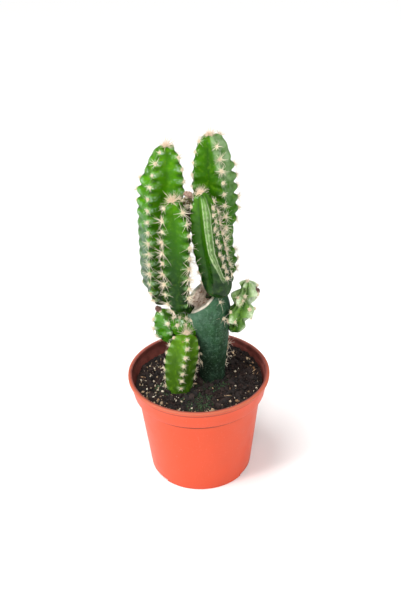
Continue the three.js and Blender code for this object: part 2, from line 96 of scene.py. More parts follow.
def addBeside(kind, inputs, **settings):
    # Adds a node to the tree that one of its inputs comes from
    known = next(value for value in inputs.values() if isinstance(value, Wire))
    return add(known.socket.id_data, kind, inputs, **settings)


def calc(operation, first, second=0.0):
    return addBeside("ShaderNodeMath", {0: first, 1: second}, operation=operation)


def scaled(vector, scale):
    return addBeside("ShaderNodeVectorMath", {0: vector, "Scale": scale}, operation="SCALE")


def vectorCalc(operation, first, second):
    return addBeside("ShaderNodeVectorMath", {0: first, 1: second}, operation=operation)


def grain(place, scale, detail=3.0, roughness=0.55):
    # Noise from 0 to 1, at so many features to the metre
    return addBeside("ShaderNodeTexNoise",
                     {"Vector": place, "Scale": scale, "Detail": detail, "Roughness": roughness})


def spread(value, low, high, toLow=0.0, toHigh=1.0):
    # A stretch of a value made longer or shorter, and held at its ends
    return addBeside("ShaderNodeMapRange", {
        "Value": value, "From Min": low, "From Max": high, "To Min": toLow, "To Max": toHigh})


def tint(code):
    # A web colour as linear red, green, blue and alpha
    parts = [int(code[i:i + 2], 16) / 255 for i in (1, 3, 5)]
    linear = [c / 12.92 if c <= 0.04045 else ((c + 0.055) / 1.055) ** 2.4 for c in parts]
    return (*linear, 1.0)


def blend(share, under, over):
    # Two colours mixed, each a web colour or the output of a node
    under, over = (tint(tone) if isinstance(tone, str) else tone for tone in (under, over))
    return addBeside("ShaderNodeMix", {0: share, 6: under, 7: over}, output=2, data_type="RGBA")


class Paint:
    # A material in the making, with its place on the object and its colour so far
    def __init__(self, name, colour=None):
        self.material = bpy.data.materials.new(name)
        self.material.use_nodes = True
        self.tree, self.colour = self.material.node_tree, colour
        self.shader = self.tree.nodes["Principled BSDF"]
        self.place = add(self.tree, "ShaderNodeTexCoord", output="Object")

    def kept(self, name):
        # A value kept on the mesh
        return add(self.tree, "ShaderNodeAttribute", output="Fac", attribute_name=name)

    def grain(self, *sizes):
        return grain(self.place, *sizes)

    def axis(self, letter):
        return addBeside("ShaderNodeSeparateXYZ", {0: self.place}, output=letter)

    def squashed(self, height):
        return addBeside("ShaderNodeMapping", {"Vector": self.place, "Scale": (1, 1, height)})

    def layer(self, share, colour):
        self.colour = blend(share, self.colour, colour)

    def finish(self, roughness, gloss=0.5, relief=None, strength=1.0, depth=1.0):
        # Depth of the relief is in millimetres
        wanted = {"Base Color": self.colour, "Roughness": roughness, "Specular IOR Level": gloss}
        if relief:
            wanted["Normal"] = addBeside("ShaderNodeBump", {
                "Height": relief, "Strength": strength, "Distance": depth * mm})
        for key, value in wanted.items():
            if isinstance(value, Wire):
                self.tree.links.new(value.socket, self.shader.inputs[key])
            else:
                self.shader.inputs[key].default_value = tint(value) if isinstance(value, str) else value
        return self.material


# Helpers for meshes and pieces

def linked(thing):
    bpy.context.scene.collection.objects.link(thing)
    return thing


def meshOf(name, points, faces, values=None):
    # A mesh from points in millimetres, with values kept on its points
    mesh = bpy.data.meshes.new(name)
    mesh.from_pydata((np.asarray(points, float) * mm).tolist(), [], faces)
    for key, numbers in (values or {}).items():
        numbers = np.asarray(numbers, np.float32)
        kind = "FLOAT_VECTOR" if numbers.ndim == 2 else "FLOAT"
        layer = mesh.attributes.new(key, kind, "POINT")
        layer.data.foreach_set("vector" if numbers.ndim == 2 else "value", numbers.ravel())
    return mesh


def closedSkin(name, points, across, values=None):
    # A skin over rings of points. The last two points are the poles before and after the rings.
    last = len(points) - 2 - across
    faces = []
    for c in range(across):
        d = (c + 1) % across
        faces += [(r + c, r + d, r + across + d, r + across + c) for r in range(0, last, across)]
        faces += [(len(points) - 2, d, c), (len(points) - 1, last + c, last + d)]
    return linked(bpy.data.objects.new(name, meshOf(name, points, faces, values)))


def spunSkin(name, profile, around, poles, values=None):
    # A profile spun about the pot's axis. A height is a number, or a function of x and y.
    points = []
    for radius, height in profile:
        for i in range(around):
            angle = 2 * math.pi * i / around
            x, y = radius * math.cos(angle), radius * math.sin(angle)
            points.append((x, y, height(x, y) if callable(height) else height))
    return closedSkin(name, points + [(0, 0, height) for height in poles], around, values)


def meshFrom(shape, mesh):
    # Writes a shape to a mesh and lets go of it
    shape.to_mesh(mesh)
    shape.free()
    return mesh


def finishPiece(piece, *nodes, slot):
    # Smooth shading, with the part's body and the node it stands for; the slot for its finish is not used
    piece.data.set_sharp_from_angle(angle=math.radians(50))
    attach(piece, "root")
    if nodes:
        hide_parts(*nodes)


def applyModifiers(piece):
    # The evaluated shape becomes the piece's own mesh
    bpy.context.view_layer.update()
    graph = bpy.context.evaluated_depsgraph_get()
    mesh = bpy.data.meshes.new_from_object(piece.evaluated_get(graph), preserve_all_data_layers=True,
                                           depsgraph=graph)
    piece.modifiers.clear()
    piece.data = mesh
    mesh.name = piece.name
    return piece


def joinBody(body, tool, operation):
    # Adds a closed tool shape to a closed body, or cuts it away
    modifier = body.modifiers.new("join", "BOOLEAN")
    modifier.object, modifier.operation, modifier.solver = tool, operation, "MANIFOLD"
    applyModifiers(body)
    bpy.data.objects.remove(tool)


# Helpers for what Geometry Nodes make

def geometryTree(name, sizes):
    # An empty tree with named inputs. Each size is a name and a value, which also sets its kind.
    tree = bpy.data.node_groups.new(name, "GeometryNodeTree")
    tree.interface.new_socket("Geometry", in_out="INPUT", socket_type="NodeSocketGeometry")
    for label, value in sizes.items():
        kind = {int: "NodeSocketInt", float: "NodeSocketFloat"}.get(type(value), "NodeSocketMaterial")
        socket = tree.interface.new_socket(label, in_out="INPUT", socket_type=kind)
        if value is not None:
            socket.default_value = value
    tree.interface.new_socket("Geometry", in_out="OUTPUT", socket_type="NodeSocketGeometry")
    return tree, {socket.name: Wire(socket) for socket in tree.nodes.new("NodeGroupInput").outputs}


def endTree(tree, sizes, geometry):
    made = add(tree, "GeometryNodeSetMaterial", {"Geometry": geometry, "Material": sizes["Material"]})
    tree.links.new(made.socket, tree.nodes.new("NodeGroupOutput").inputs[0])
    return tree


def grow(name, seedMesh, tree, values):
    # Runs a geometry tree on a mesh and keeps what it makes
    piece = linked(bpy.data.objects.new(name, seedMesh))
    modifier = piece.modifiers.new("grow", "NODES")
    modifier.node_group = tree
    for socket in tree.interface.items_tree:
        if socket.in_out == "INPUT" and socket.name in values:
            modifier[socket.identifier] = values[socket.name]
    return applyModifiers(piece)


def named(tree, name, kind="FLOAT"):
    return add(tree, "GeometryNodeInputNamedAttribute", {"Name": name}, data_type=kind)


def combined(x, y, z):
    return addBeside("ShaderNodeCombineXYZ", {0: x, 1: y, 2: z})


def randomIn(low, high, seed, offset=0):
    # A random number for each point or instance, the same on every run
    index = add(seed.socket.id_data, "GeometryNodeInputIndex")
    return addBeside("FunctionNodeRandomValue",
                     {"Min": low, "Max": high, "ID": index, "Seed": seed + float(offset)}, data_type="FLOAT")


def standing(way, roll):
    # A rotation that stands a copy along a direction and rolls it
    turned = addBeside("FunctionNodeAlignRotationToVector", {"Vector": way}, axis="Z")
    rolled = addBeside("FunctionNodeAxisAngleToRotation", {"Axis": (0, 0, 1), "Angle": roll})
    return addBeside("FunctionNodeRotateRotation", {"Rotation": turned, "Rotate By": rolled},
                     rotation_space="LOCAL")


def placed(points, shape, rotation, scale):
    return addBeside("GeometryNodeInstanceOnPoints",
                     {"Points": points, "Instance": shape, "Rotation": rotation, "Scale": scale})


def shaded(copies, seed, offset):
    # Gives each copy a shade of its own, and makes them real
    graded = addBeside("GeometryNodeStoreNamedAttribute", {
        "Geometry": copies, "Name": "shade", "Value": randomIn(0.0, 1.0, seed, offset)},
        data_type="FLOAT", domain="INSTANCE")
    return addBeside("GeometryNodeRealizeInstances", {"Geometry": graded})


def moved(geometry, offset):
    return addBeside("GeometryNodeSetPosition", {"Geometry": geometry, "Offset": offset})


def roughBall(tree, geometry, scale, detail, middle, depth, gain):
    # Pushes a surface in and out along its normals by a noise
    rough = add(tree, "ShaderNodeTexNoise", {
        "Vector": add(tree, "GeometryNodeInputPosition"), "Scale": scale, "Detail": detail})
    return moved(geometry, scaled(add(tree, "GeometryNodeInputNormal"), (rough - middle) * depth * gain))


# Camera, floor and light

viewpoint = {
    "elevation": 31.55,      # degrees above the horizon
    "distance": 800,
    "aim": (3.1, 0, 164.7),
    "roll": -1.57,           # degrees
    "lens": 59.0,            # on a 36 mm sensor
}

studio = {
    "floorSize": 7000,
    "floorColour": "#fbfbfa",
    "skyStrength": 0.33,
    "sunStrength": 2.27,
    "sunAngle": 36,          # degrees across, which sets how soft the shadow is
    "sunFrom": (-0.56, -0.16, 1.6),
    "panels": [
        # name, place, size, power in watts
        ("panelLeft", (-740, -440, 460), 200, 4.4),
        ("panelFront", (60, -760, 860), 240, 4.2),
        ("panelRight", (640, -300, 420), 200, 1.3),
    ],
}


def makeCamera():
    rise, turn = math.radians(viewpoint["elevation"]), math.radians(viewpoint["roll"])
    back = Vector((0, -math.cos(rise), math.sin(rise)))
    across, upwards = Vector((1, 0, 0)), Vector((0, math.sin(rise), math.cos(rise)))
    right = across * math.cos(turn) + upwards * math.sin(turn)
    top = upwards * math.cos(turn) - across * math.sin(turn)
    place = (Vector(viewpoint["aim"]) + back * viewpoint["distance"]) * mm
    lens = bpy.data.cameras.new("camera")
    lens.lens, lens.sensor_width = viewpoint["lens"], 36
    camera = linked(bpy.data.objects.new("camera", lens))
    camera.matrix_world = Matrix.Translation(place) @ Matrix((right, top, back)).transposed().to_4x4()
    bpy.context.scene.camera = camera


def makeLamp(name, kind, power, away, place=(0, 0, 0)):
    light = bpy.data.lights.new(name, kind)
    light.energy = power
    lamp = linked(bpy.data.objects.new(name, light))
    lamp.location = Vector(place) * mm
    lamp.rotation_euler = Vector(away).to_track_quat("Z", "Y").to_euler()
    return light


def makeStudio():
    scene = bpy.context.scene
    scene.view_settings.view_transform = "Standard"
    scene.world = bpy.data.worlds.new("studio")
    scene.world.use_nodes = True
    sky = scene.world.node_tree.nodes["Background"].inputs
    sky["Color"].default_value, sky["Strength"].default_value = (1, 1, 1, 1), studio["skyStrength"]

    half = studio["floorSize"] / 2
    corners = [(-half, -half, 0), (half, -half, 0), (half, half, 0), (-half, half, 0)]
    floor = linked(bpy.data.objects.new("floor", meshOf("floor", corners, [(0, 1, 2, 3)])))
    floor.data.materials.append(Paint("paleFloor", studio["floorColour"]).finish(0.9, gloss=0.1))

    sun = makeLamp("sun", "SUN", studio["sunStrength"], studio["sunFrom"])
    sun.angle = math.radians(studio["sunAngle"])
    for name, place, size, power in studio["panels"]:
        panel = makeLamp(name, "AREA", power, Vector(place) - Vector(viewpoint["aim"]), place)
        panel.size = size * mm


makeCamera()
makeStudio()
print("camera and studio ready")


# Stems. Each station is x, y, z, crest radius and the valley's share of it, from foot to tip.

growth = {
    "flatValley": 0.55,      # valley share of a full-grown stretch
    "fullRadius": 10,        # crest radius from which a notch has its full depth
    "perRow": 8,             # rings between two rows of areoles
    "perFlank": 9,           # points from a crest to a valley
    "curveSteps": 600,       # fineness of the curve through the stations
    "waver": 0.42,           # how far the skin wanders
    "deeper": 0.05,          # how much deeper a valley is than its stations say
    "uneven": 0.4,           # how far notches differ from each other
    "crestPull": 0.7,        # how much of a notch shows beside the crest, and at the shoulder
    "shoulder": 0.45,
    "steep": 0.36,           # how straight a flank runs down to its valley
    "blunt": 0.1,            # how flat a crest is, how much flatter at an areole, and the pale one
    "bluntKnob": 0.06,
    "bluntPale": 0.3,
    "swell": 14,             # size of the skin's long waves and of its lumps
    "lump": 4.5,
}

# What a stem has unless its plan says otherwise. Lists have a number for each rib.
plainStem = {
    "ribs": 4,
    "turn": 0,               # first rib's direction in degrees from the front towards the right
    "twist": 0,              # degrees from foot to tip
    "spacing": 9.4,          # of the areoles on a rib
    "rowShift": 0,
    "everyRow": False,       # ribs have areoles side by side, not by turns
    "lumps": 0.15,
    "reach": [1] * 5,
    "notches": [1] * 5,
    "spineSizes": [1] * 5,
    "bareRibs": [],
    "paleRib": None,
    "dents": [],             # rib, height, half width and depth of a worn stretch
    "knobs": [],             # place, width, height and direction of side lumps, each with an areole
    "sideRow": None,
    "extraAreoles": [],      # place and direction
    "extraSize": 1.0,
    "tuft": 5,               # areoles on the tip
    "tuftSize": 1,
    "fresh": 0,              # how young the spines of the upper part look
    "dustySheen": {},
    "neck": None,
}

# A pale flank, partly dust and partly a painted sheen of side light, and from where to where it goes; it may spill
# over the crest near the tip
plainDustAndSheen = {"flank": -1, "from": 0, "to": 1, "fade": 0.22, "spill": 0, "half": False}

# A neck's fineness and shape, and which place on a stem its colour is taken from
plainNeck = {"sides": 28, "levels": 16, "waist": 0.12, "sag": 1.2, "belly": 0, "lumps": 0.6,
             "valley": 0.45, "along": 0.02, "knob": 0}

stemPlans = {
    "trunk": {
        "ribs": 5, "turn": 18, "notch": 0.3, "spineFrom": 94, "bareRibs": [0, 2], "tuft": 0,
        "extraSize": 0.75,
        "extraAreoles": [(-6, 4, 151, -0.8, -0.6, 0.2), (-5.5, 3, 144.5, -0.8, -0.6, 0.1),
                         (19, -4.6, 165.5, 0.5, -0.7, 0.5), (21.5, -4.4, 149.5, 0.4, -0.9, 0.1)],
        "stations": [
            (11.5, 9, 52, 0, 1), (11.5, 9, 53, 6, 1), (11.5, 9, 66, 10.5, 1), (11.3, 8.6, 84, 11.4, 1),
            (11.6, 8.2, 96, 11.3, 0.93), (12.4, 8, 116, 12.7, 0.93), (11.2, 8, 136, 15.4, 0.94),
            (9.4, 8, 149, 18, 0.95), (9.3, 8, 160, 17.6, 0.96), (10.6, 8, 169, 14.2, 1),
            (11.4, 8, 174.5, 8, 1), (11.5, 8, 176, 0, 1)],
    },
    "stem_back_left": {
        "turn": -33, "notch": 2.3, "notches": [1, 0.5, 1, 1.2], "spineFrom": 158, "tuftSize": 1.6,
        "reach": [1, 1, 1, 1.18], "dents": [(3, 198, 34, 0.4), (3, 272, 17, 3.6)], "fresh": 0.9,
        "dustySheen": {"flank": 3, "from": 0.62, "to": 0.4},
        "stations": [
            (-27.6, 24, 149, 0, 0.9), (-27.6, 24, 151, 8, 0.85), (-27.5, 24, 157, 14.2, 0.7),
            (-27.1, 24, 169, 19.2, 0.6), (-26, 24, 195, 20.6, 0.55), (-25.4, 24, 225, 21, 0.55),
            (-24.4, 24, 250, 20.6, 0.55), (-22.4, 24, 267, 18, 0.56), (-20.8, 24, 280, 13.8, 0.62),
            (-20.2, 24, 287.5, 8.4, 0.72), (-20, 24, 290.5, 0, 0.85)],
        "neck": {"from": (-24, 22, 168), "to": (2, 11, 146), "radius": 8.5, "endRadius": 7},
    },
    "stem_back_right": {
        "turn": 25, "notch": 2.5, "notches": [0.8, 1.15, 0.8, 0.35], "spineFrom": 172,
        "reach": [1, 1.12, 1.08, 1], "tuftSize": 1.15, "fresh": 0.6,
        "dustySheen": {"flank": 0, "from": 0.52, "to": 0.82, "spill": 0.6},
        "dents": [(1, 207, 16, 5), (1, 284, 13, 1.6)],
        "stations": [
            (20.4, 24, 158, 0, 0.9), (20.3, 24, 160, 6, 0.85), (20, 24, 168, 11.5, 0.7),
            (18.6, 24, 182, 15.5, 0.58), (17.2, 24, 207, 18.2, 0.55), (16.6, 24, 234, 18.6, 0.55),
            (15.6, 24, 260, 18.2, 0.55), (14.8, 24, 275, 16.4, 0.56), (14.4, 24, 286, 14, 0.6),
            (13.4, 24, 295, 9.8, 0.7), (12.9, 24, 298.5, 0, 0.85)],
        "neck": {"from": (20, 23, 174), "to": (13, 13, 150), "radius": 8, "endRadius": 8},
    },
    "stem_front_left": {
        "turn": -46, "notch": 1.5, "spineFrom": 161, "tuft": 6, "tuftSize": 1.25,
        "spineSizes": [1, 1.35, 1.1, 1], "dents": [(1, 154, 24, 0), (2, 154, 24, 0)],
        "dustySheen": {"flank": 0, "from": 0.85, "to": 0.4, "half": True, "fade": 0.1},
        "stations": [
            (-13.8, -5.5, 158.5, 0, 0.95), (-13.9, -5.6, 160.5, 5.4, 0.9), (-14.4, -6, 167, 9.8, 0.74),
            (-15, -6, 177, 12.9, 0.6), (-15.1, -6, 200, 14.6, 0.54), (-14.4, -6, 225, 14.8, 0.54),
            (-14.9, -6, 240, 13.6, 0.56), (-15.9, -6, 249, 11.4, 0.62), (-16.5, -6, 255.5, 7.4, 0.72),
            (-16.7, -6, 258, 0, 0.85)],
        "neck": {"from": (-14, -4.5, 167), "to": (1, 7, 148), "radius": 5.2, "endRadius": 4.6},
    },
    "stem_front_right": {
        "turn": 5, "notch": 1.2, "notches": [0.2, 1, 1, 0.6], "spineFrom": 188, "bareRibs": [0],
        "paleRib": 0, "twist": 12, "tuftSize": 1.15, "extraSize": 0.62,
        "sideRow": {"angle": 46, "sway": 12, "from": 190, "to": 254, "step": 5.6, "share": 0.62,
                    "width": 3, "push": 2},
        "stations": [
            (17.8, -6, 172, 0, 1), (17.8, -6, 173.3, 5.8, 1), (17.8, -6, 177.5, 10, 0.97),
            (17, -6, 185, 11.9, 0.86), (14.8, -6, 196, 12.4, 0.7), (10.9, -6, 215, 12.6, 0.6),
            (8.7, -6, 231, 12, 0.6), (7.4, -6, 246, 10.8, 0.62), (6.3, -6, 256, 8.4, 0.68),
            (5.4, -6, 262, 5, 0.78), (5.1, -6, 264, 0, 0.9)],
        "neck": {"from": (16.5, -2, 180), "to": (12, 9, 160), "radius": 6, "endRadius": 6},
    },
    "stem_middle": {
        "notch": 0.8, "spineFrom": 236, "tuftSize": 1.5,
        "stations": [
            (-5.2, 10.4, 222, 0, 0.9), (-5.2, 10.4, 223, 2.2, 0.9), (-5, 10.3, 229, 4, 0.75),
            (-4.6, 10, 242, 4.4, 0.68), (-4.8, 9.8, 251, 3.6, 0.75), (-5, 9.8, 255, 0, 0.9)],
        "neck": {"from": (-5, 10.4, 230), "to": (-14, 15, 222), "radius": 2.4, "endRadius": 2},
    },
    "pup_front": {
        "turn": 7, "notch": 0.4, "spineFrom": 84, "tuftSize": 2.4, "spacing": 7.8,
        "stations": [
            (-17.6, -8.6, 56, 0, 1), (-17.6, -8.6, 57, 4, 1), (-17.4, -8.4, 70, 7.6, 1),
            (-17, -8.2, 82, 10.4, 1), (-16.6, -7.8, 89, 11.6, 0.85), (-15.5, -6.8, 101, 13.2, 0.68),
            (-13.7, -6, 114, 13.8, 0.64), (-11.3, -5.2, 125, 12.4, 0.66), (-9.7, -4.7, 133, 8.6, 0.74),
            (-9.2, -4.5, 136.5, 0, 0.9)],
    },
    "pup_left": {
        "turn": 22, "notch": 1.5, "spineFrom": 125, "tuft": 3, "lumps": 1.0, "extraSize": 0.85,
        "spineSizes": [0.7, 1, 1, 1],
        "extraAreoles": [(-19.5, 5, 145.6, -0.2, -0.5, 0.8), (-14.5, 6, 144.8, 0, -0.5, 0.8),
                         (-9, 5.6, 144, 0.1, -0.5, 0.8), (-16.5, 1.2, 140.4, 0, -0.9, 0.5),
                         (-9.5, 2, 140.6, 0.2, -0.9, 0.5)],
        "stations": [
            (-23.6, 11, 118.5, 0, 0.95), (-23.8, 11, 120, 4.6, 0.9), (-24.8, 11, 126.5, 9, 0.75),
            (-26.4, 10.6, 136, 11.2, 0.64), (-28.8, 10, 144, 9.4, 0.66), (-30.8, 9.6, 149.5, 4.8, 0.78),
            (-31.2, 9.5, 151, 0, 0.9)],
        "neck": {"from": (-24, 10.5, 136), "to": (8, 9.4, 137), "radius": 7, "endRadius": 8.4,
                 "belly": 3.4, "lumps": 2.6, "along": 0.5, "knob": 0.35},
    },
    "pup_right": {
        "ribs": 5, "turn": -30, "notch": 8, "spacing": 17, "rowShift": 0.5, "spineFrom": 133, "tuft": 3,
        "lumps": 1.3, "everyRow": True, "extraSize": 0.8, "dustySheen": {"flank": 1, "from": 0.0, "to": 0.1},
        "extraAreoles": [(35, -2.6, 161.8, -0.1, -1, 0.3), (37.2, -2.6, 165, 0, -1, 0.3),
                         (39.2, -1.6, 168.4, 0.1, -1, 0.4)],
        "knobs": [(34, -3, 170, 4.4, 3.6, -0.3, -0.8, 0.6), (26.5, -1, 157, 5.2, 4.2, -0.8, -0.6, 0.2),
                  (41, -5, 159, 3.8, 3.4, 0.1, -1, 0.2), (46, 1, 168, 4.2, 4.4, 0.5, -0.6, 0.5),
                  (48.5, 5, 172, 3.2, 3.4, 0.9, -0.2, 0.4), (47.5, 3, 156, 3.8, 3.6, 0.9, -0.4, 0.2),
                  (34.5, -5.5, 147, 4.4, 3.2, -0.1, -1, 0), (43, 0, 146, 4.2, 3.0, 0.7, -0.7, -0.2),
                  (28, -1, 146, 3.8, 2.6, -0.7, -0.7, 0), (36, 15, 160, 5, 4, 0, 1, 0.2),
                  (30, 13, 148, 4.5, 3, -0.4, 0.9, 0), (44, 13, 165, 4.5, 3.5, 0.6, 0.7, 0.3)],
        "stations": [
            (30, 6, 130.5, 0, 0.9), (30.4, 6, 132, 6, 0.78), (32.4, 6, 140, 10.6, 0.6),
            (35.4, 6, 151, 12, 0.5), (38.6, 6, 162, 11.2, 0.48), (40.4, 6, 170, 10, 0.52),
            (41.4, 6, 176.5, 5.6, 0.75), (41.7, 6, 178.5, 0, 0.9)],
        "neck": {"from": (33, 6.4, 148), "to": (14, 8, 142), "radius": 7, "endRadius": 6},
    },
}
stemPlans = {name: {**plainStem, **plan} for name, plan in stemPlans.items()}


def smoothStep(value, low, high):
    share = np.clip((value - low) / (high - low), 0, 1)
    return share * share * (3 - 2 * share)


def unit(ways):
    ways = np.asarray(ways, float)
    return ways / np.linalg.norm(ways, axis=-1, keepdims=True)


def stationCurve(stations, count):
    # A smooth curve through the stations, at evenly spaced steps
    table = np.array(stations, float)
    last = len(table) - 1
    along = np.linspace(0, last, count + 1)
    span = np.minimum(along.astype(int), last - 1)
    t = (along - span)[:, None]
    before, start = table[np.maximum(span - 1, 0)], table[span]
    end, after = table[span + 1], table[np.minimum(span + 2, last)]
    slopeStart, slopeEnd, rise = (end - before) / 2, (after - start) / 2, end - start
    square = 3 * rise - 2 * slopeStart - slopeEnd
    cube = slopeStart + slopeEnd - 2 * rise
    return start + t * (slopeStart + t * (square + t * cube))


def stemRings(plan, perRow):
    # Rings from foot to tip, evenly spaced along the outline, each with its own frame
    curve = stationCurve(plan["stations"], growth["curveSteps"])
    centre, radius = curve[:, :3], np.maximum(curve[:, 3], 0)
    steps = np.hypot(np.linalg.norm(np.diff(centre, axis=0), axis=1), np.diff(curve[:, 3]))
    length = np.concatenate([[0], np.cumsum(steps)])
    rows, shift = round(length[-1] / (plan["spacing"] / 2)), plan["rowShift"]
    row = np.linspace(0, rows, rows * perRow + 1)
    wanted = np.interp(row, [0, 1, rows - 1, rows], [0, 1 + shift, rows - 1 + shift, rows]) * length[-1] / rows
    def at(values):
        return np.stack([np.interp(wanted, length, column) for column in values.T], axis=-1)
    ahead = at(np.gradient(centre, axis=0))
    tangent, forward = unit(ahead), np.array([0, -1.0, 0])
    front = unit(forward - tangent * (tangent @ forward)[:, None])
    flare = np.arctan2(np.interp(wanted, length, np.gradient(radius)), np.linalg.norm(ahead, axis=1))
    middle = at(centre)
    rise = (middle[:, 2] - middle[0, 2]) / (middle[-1, 2] - middle[0, 2])
    # Full-grown valleys are cut a little deeper, and round feet and tips stay as they are
    valley = np.minimum(np.interp(wanted, length, curve[:, 4]), 1)
    valley -= growth["deeper"] * smoothStep(valley, 0.95, 0.65)
    return {"rise": rise, "twist": rise * plan["twist"], "row": row, "rows": rows, "centre": middle,
            "tangent": tangent, "front": front, "side": np.cross(tangent, front), "flare": flare,
            "radius": np.interp(wanted, length, radius), "valley": valley}


def outward(rings, degrees):
    # 0 degrees is the front, and the stem's twist is added on the way up
    angle = np.radians(degrees + rings["twist"])[:, None]
    return rings["front"] * np.cos(angle) + rings["side"] * np.sin(angle)


def dipOf(row, rib):
    # 0 at an areole of this rib and 1 half way to the next; ribs take turns
    away = np.abs(((row + rib) / 2 + 0.5) % 1 - 0.5) * 2
    return (0.5 - 0.5 * np.cos(np.pi * away)) ** 1.5


def crestRadius(plan, rings, rib, share=1.0):
    # The crest with a share of the notch between its areoles
    rib, row = rib % plan["ribs"], rings["row"]
    grown = np.minimum(1, rings["radius"] / growth["fullRadius"])
    depth = plan["notch"] * grown * (1 - rings["valley"]) / (1 - growth["flatValley"])
    depth = depth * plan["notches"][rib] * share * dipOf(row, rib)
    depth = depth * (1 + growth["uneven"] * np.sin(row * 1.9 + rib * 2.3) * np.sin(row * 0.7 + rib))
    for dentRib, height, width, hollow in plan["dents"]:
        if dentRib == rib:
            near = np.exp(-((rings["centre"][:, 2] - height) / width) ** 4)
            depth = depth * (1 - 0.85 * near) + hollow * near
    return np.maximum(rings["radius"] * plan["reach"][rib] - depth, 0)


def stemSkin(name, plan):
    # The ribbed skin: from crest to valley each flank is a curve, fuller beside an areole
    rings = stemRings(plan, growth["perRow"])
    ribs, perFlank, rise = plan["ribs"], growth["perFlank"], rings["rise"]
    step, radius = 360 / ribs, rings["radius"][:, None]
    roundness = smoothStep(rings["valley"], 0.7, 0.92)[:, None]
    circle = 4 / 3 * math.tan(math.radians(step / 2) / 4)
    dustySheen = {**plainDustAndSheen, **plan["dustySheen"]}
    dustingAndSheen = np.clip((rise - dustySheen["from"]) / (dustySheen["to"] - dustySheen["from"]), 0, 1)
    dustingAndSheen *= smoothStep(rise, 0.02, dustySheen["fade"])
    columns, kept = [], []
    for column in range(ribs * 2 * perFlank):
        rib, place = divmod(column, 2 * perFlank)
        mirrored = place > perFlank
        t = (2 * perFlank - place if mirrored else place) / perFlank
        crestRib, toward = (rib + 1, -1) if mirrored else (rib, 1)
        crestAngle, valleyAngle = plan["turn"] + crestRib * step, plan["turn"] + (rib + 0.5) * step
        crestWay, crestSide = outward(rings, crestAngle), outward(rings, crestAngle + 90 * toward)
        def crest(share):
            return crestWay * crestRadius(plan, rings, crestRib, share)[:, None]
        knob = 1 - dipOf(rings["row"], crestRib % ribs)
        pale = float(plan["paleRib"] == crestRib % ribs)
        flat = growth["blunt"] + growth["bluntKnob"] * min(plan["notch"], 2) * knob[:, None]
        flat = growth["bluntPale"] if pale else flat
        crestPull = crestSide * radius * (flat * (1 - roundness) + circle * roundness)
        crestPull = crest(growth["crestPull"]) + crestPull
        valley = outward(rings, valleyAngle) * radius * rings["valley"][:, None]
        sharp = valley + (crest(growth["shoulder"]) - valley) * growth["steep"]
        smooth = valley + outward(rings, valleyAngle - 90 * toward) * radius * circle
        valleyPull = sharp * (1 - roundness) + smooth * roundness
        columns.append(rings["centre"] + ((1 - t) ** 3 * crest(1.0) + 3 * (1 - t) ** 2 * t * crestPull
                                          + 3 * (1 - t) * t * t * valleyPull + t ** 3 * valley))
        onFlank = float(dustySheen["flank"] == rib and not (mirrored and dustySheen["half"]))
        onFlank *= min(1.0, 2.2 - abs(place / perFlank - 1) * 2.2)
        limit = dustySheen["spill"] * np.clip((rise - 0.7) / 0.18, 0, 1)
        spilled = np.clip((limit - t) / 0.12, 0, 1) * float(crestRib % ribs == dustySheen["flank"])
        same = np.ones(len(rise))
        kept.append((t * same, knob * (1 - t), pale * (1 - t) * same, -pale * toward * t * same,
                     dustingAndSheen * np.maximum(onFlank, spilled)))
    grid = np.stack(columns, axis=1)[1:-1]
    for ring, middle in zip(grid, rings["centre"][1:-1]):
        for point in ring:
            here, out = Vector(point), point - middle
            sway = noise.noise(here / growth["swell"]) * growth["waver"]
            sway += noise.noise(here / growth["lump"]) * plan["lumps"]
            point += out / max(np.linalg.norm(out), 1e-6) * sway
    points = np.concatenate([grid.reshape(-1, 3), rings["centre"][[0, -1]]])
    points, knobAreoles = pushKnobs(points, plan["knobs"] + sideKnobs(plan["sideRow"], rings))
    poles = {"valley": 0.5, "knob": 0.5, "band": 0.5, "lean": 0, "dustAndSheen": 0}
    values = {key: np.append(layer[1:-1].ravel(), [pole, pole])
              for (key, pole), layer in zip(poles.items(), np.array(kept).transpose(1, 2, 0))}
    low, high = points[-2:, 2]
    values["along"] = (points[:, 2] - low) / (high - low)
    return closedSkin(name, points, grid.shape[1], values), knobAreoles


def sideKnobs(row, rings):
    # A row of small lumps in a valley, set to the left and right of its line by turns
    made = []
    for order, height in enumerate(np.arange(row["from"], row["to"], row["step"]) if row else []):
        nearest = int(np.argmin(np.abs(rings["centre"][:, 2] - height)))
        way = outward(rings, row["angle"] + row["sway"] * (order % 2))[nearest]
        spot = rings["centre"][nearest] + way * rings["radius"][nearest] * row["share"]
        made.append((*spot, row["width"], row["push"], *way))
    return made


def pushKnobs(points, knobs):
    # The skin nearest to each spot is pushed out along its direction, and gets an areole
    pushed, tops = points.copy(), []
    for x, y, z, width, height, *way in knobs:
        way = unit(way)
        nearest = np.argmin(np.linalg.norm(points - np.array([x, y, z]), axis=1))
        away = np.linalg.norm(points - points[nearest], axis=1)
        pushed += way * (height * np.exp(-(away / width) ** 2))[:, None]
        tops.append((nearest, way))
    return pushed, [(*pushed[nearest], *way) for nearest, way in tops]


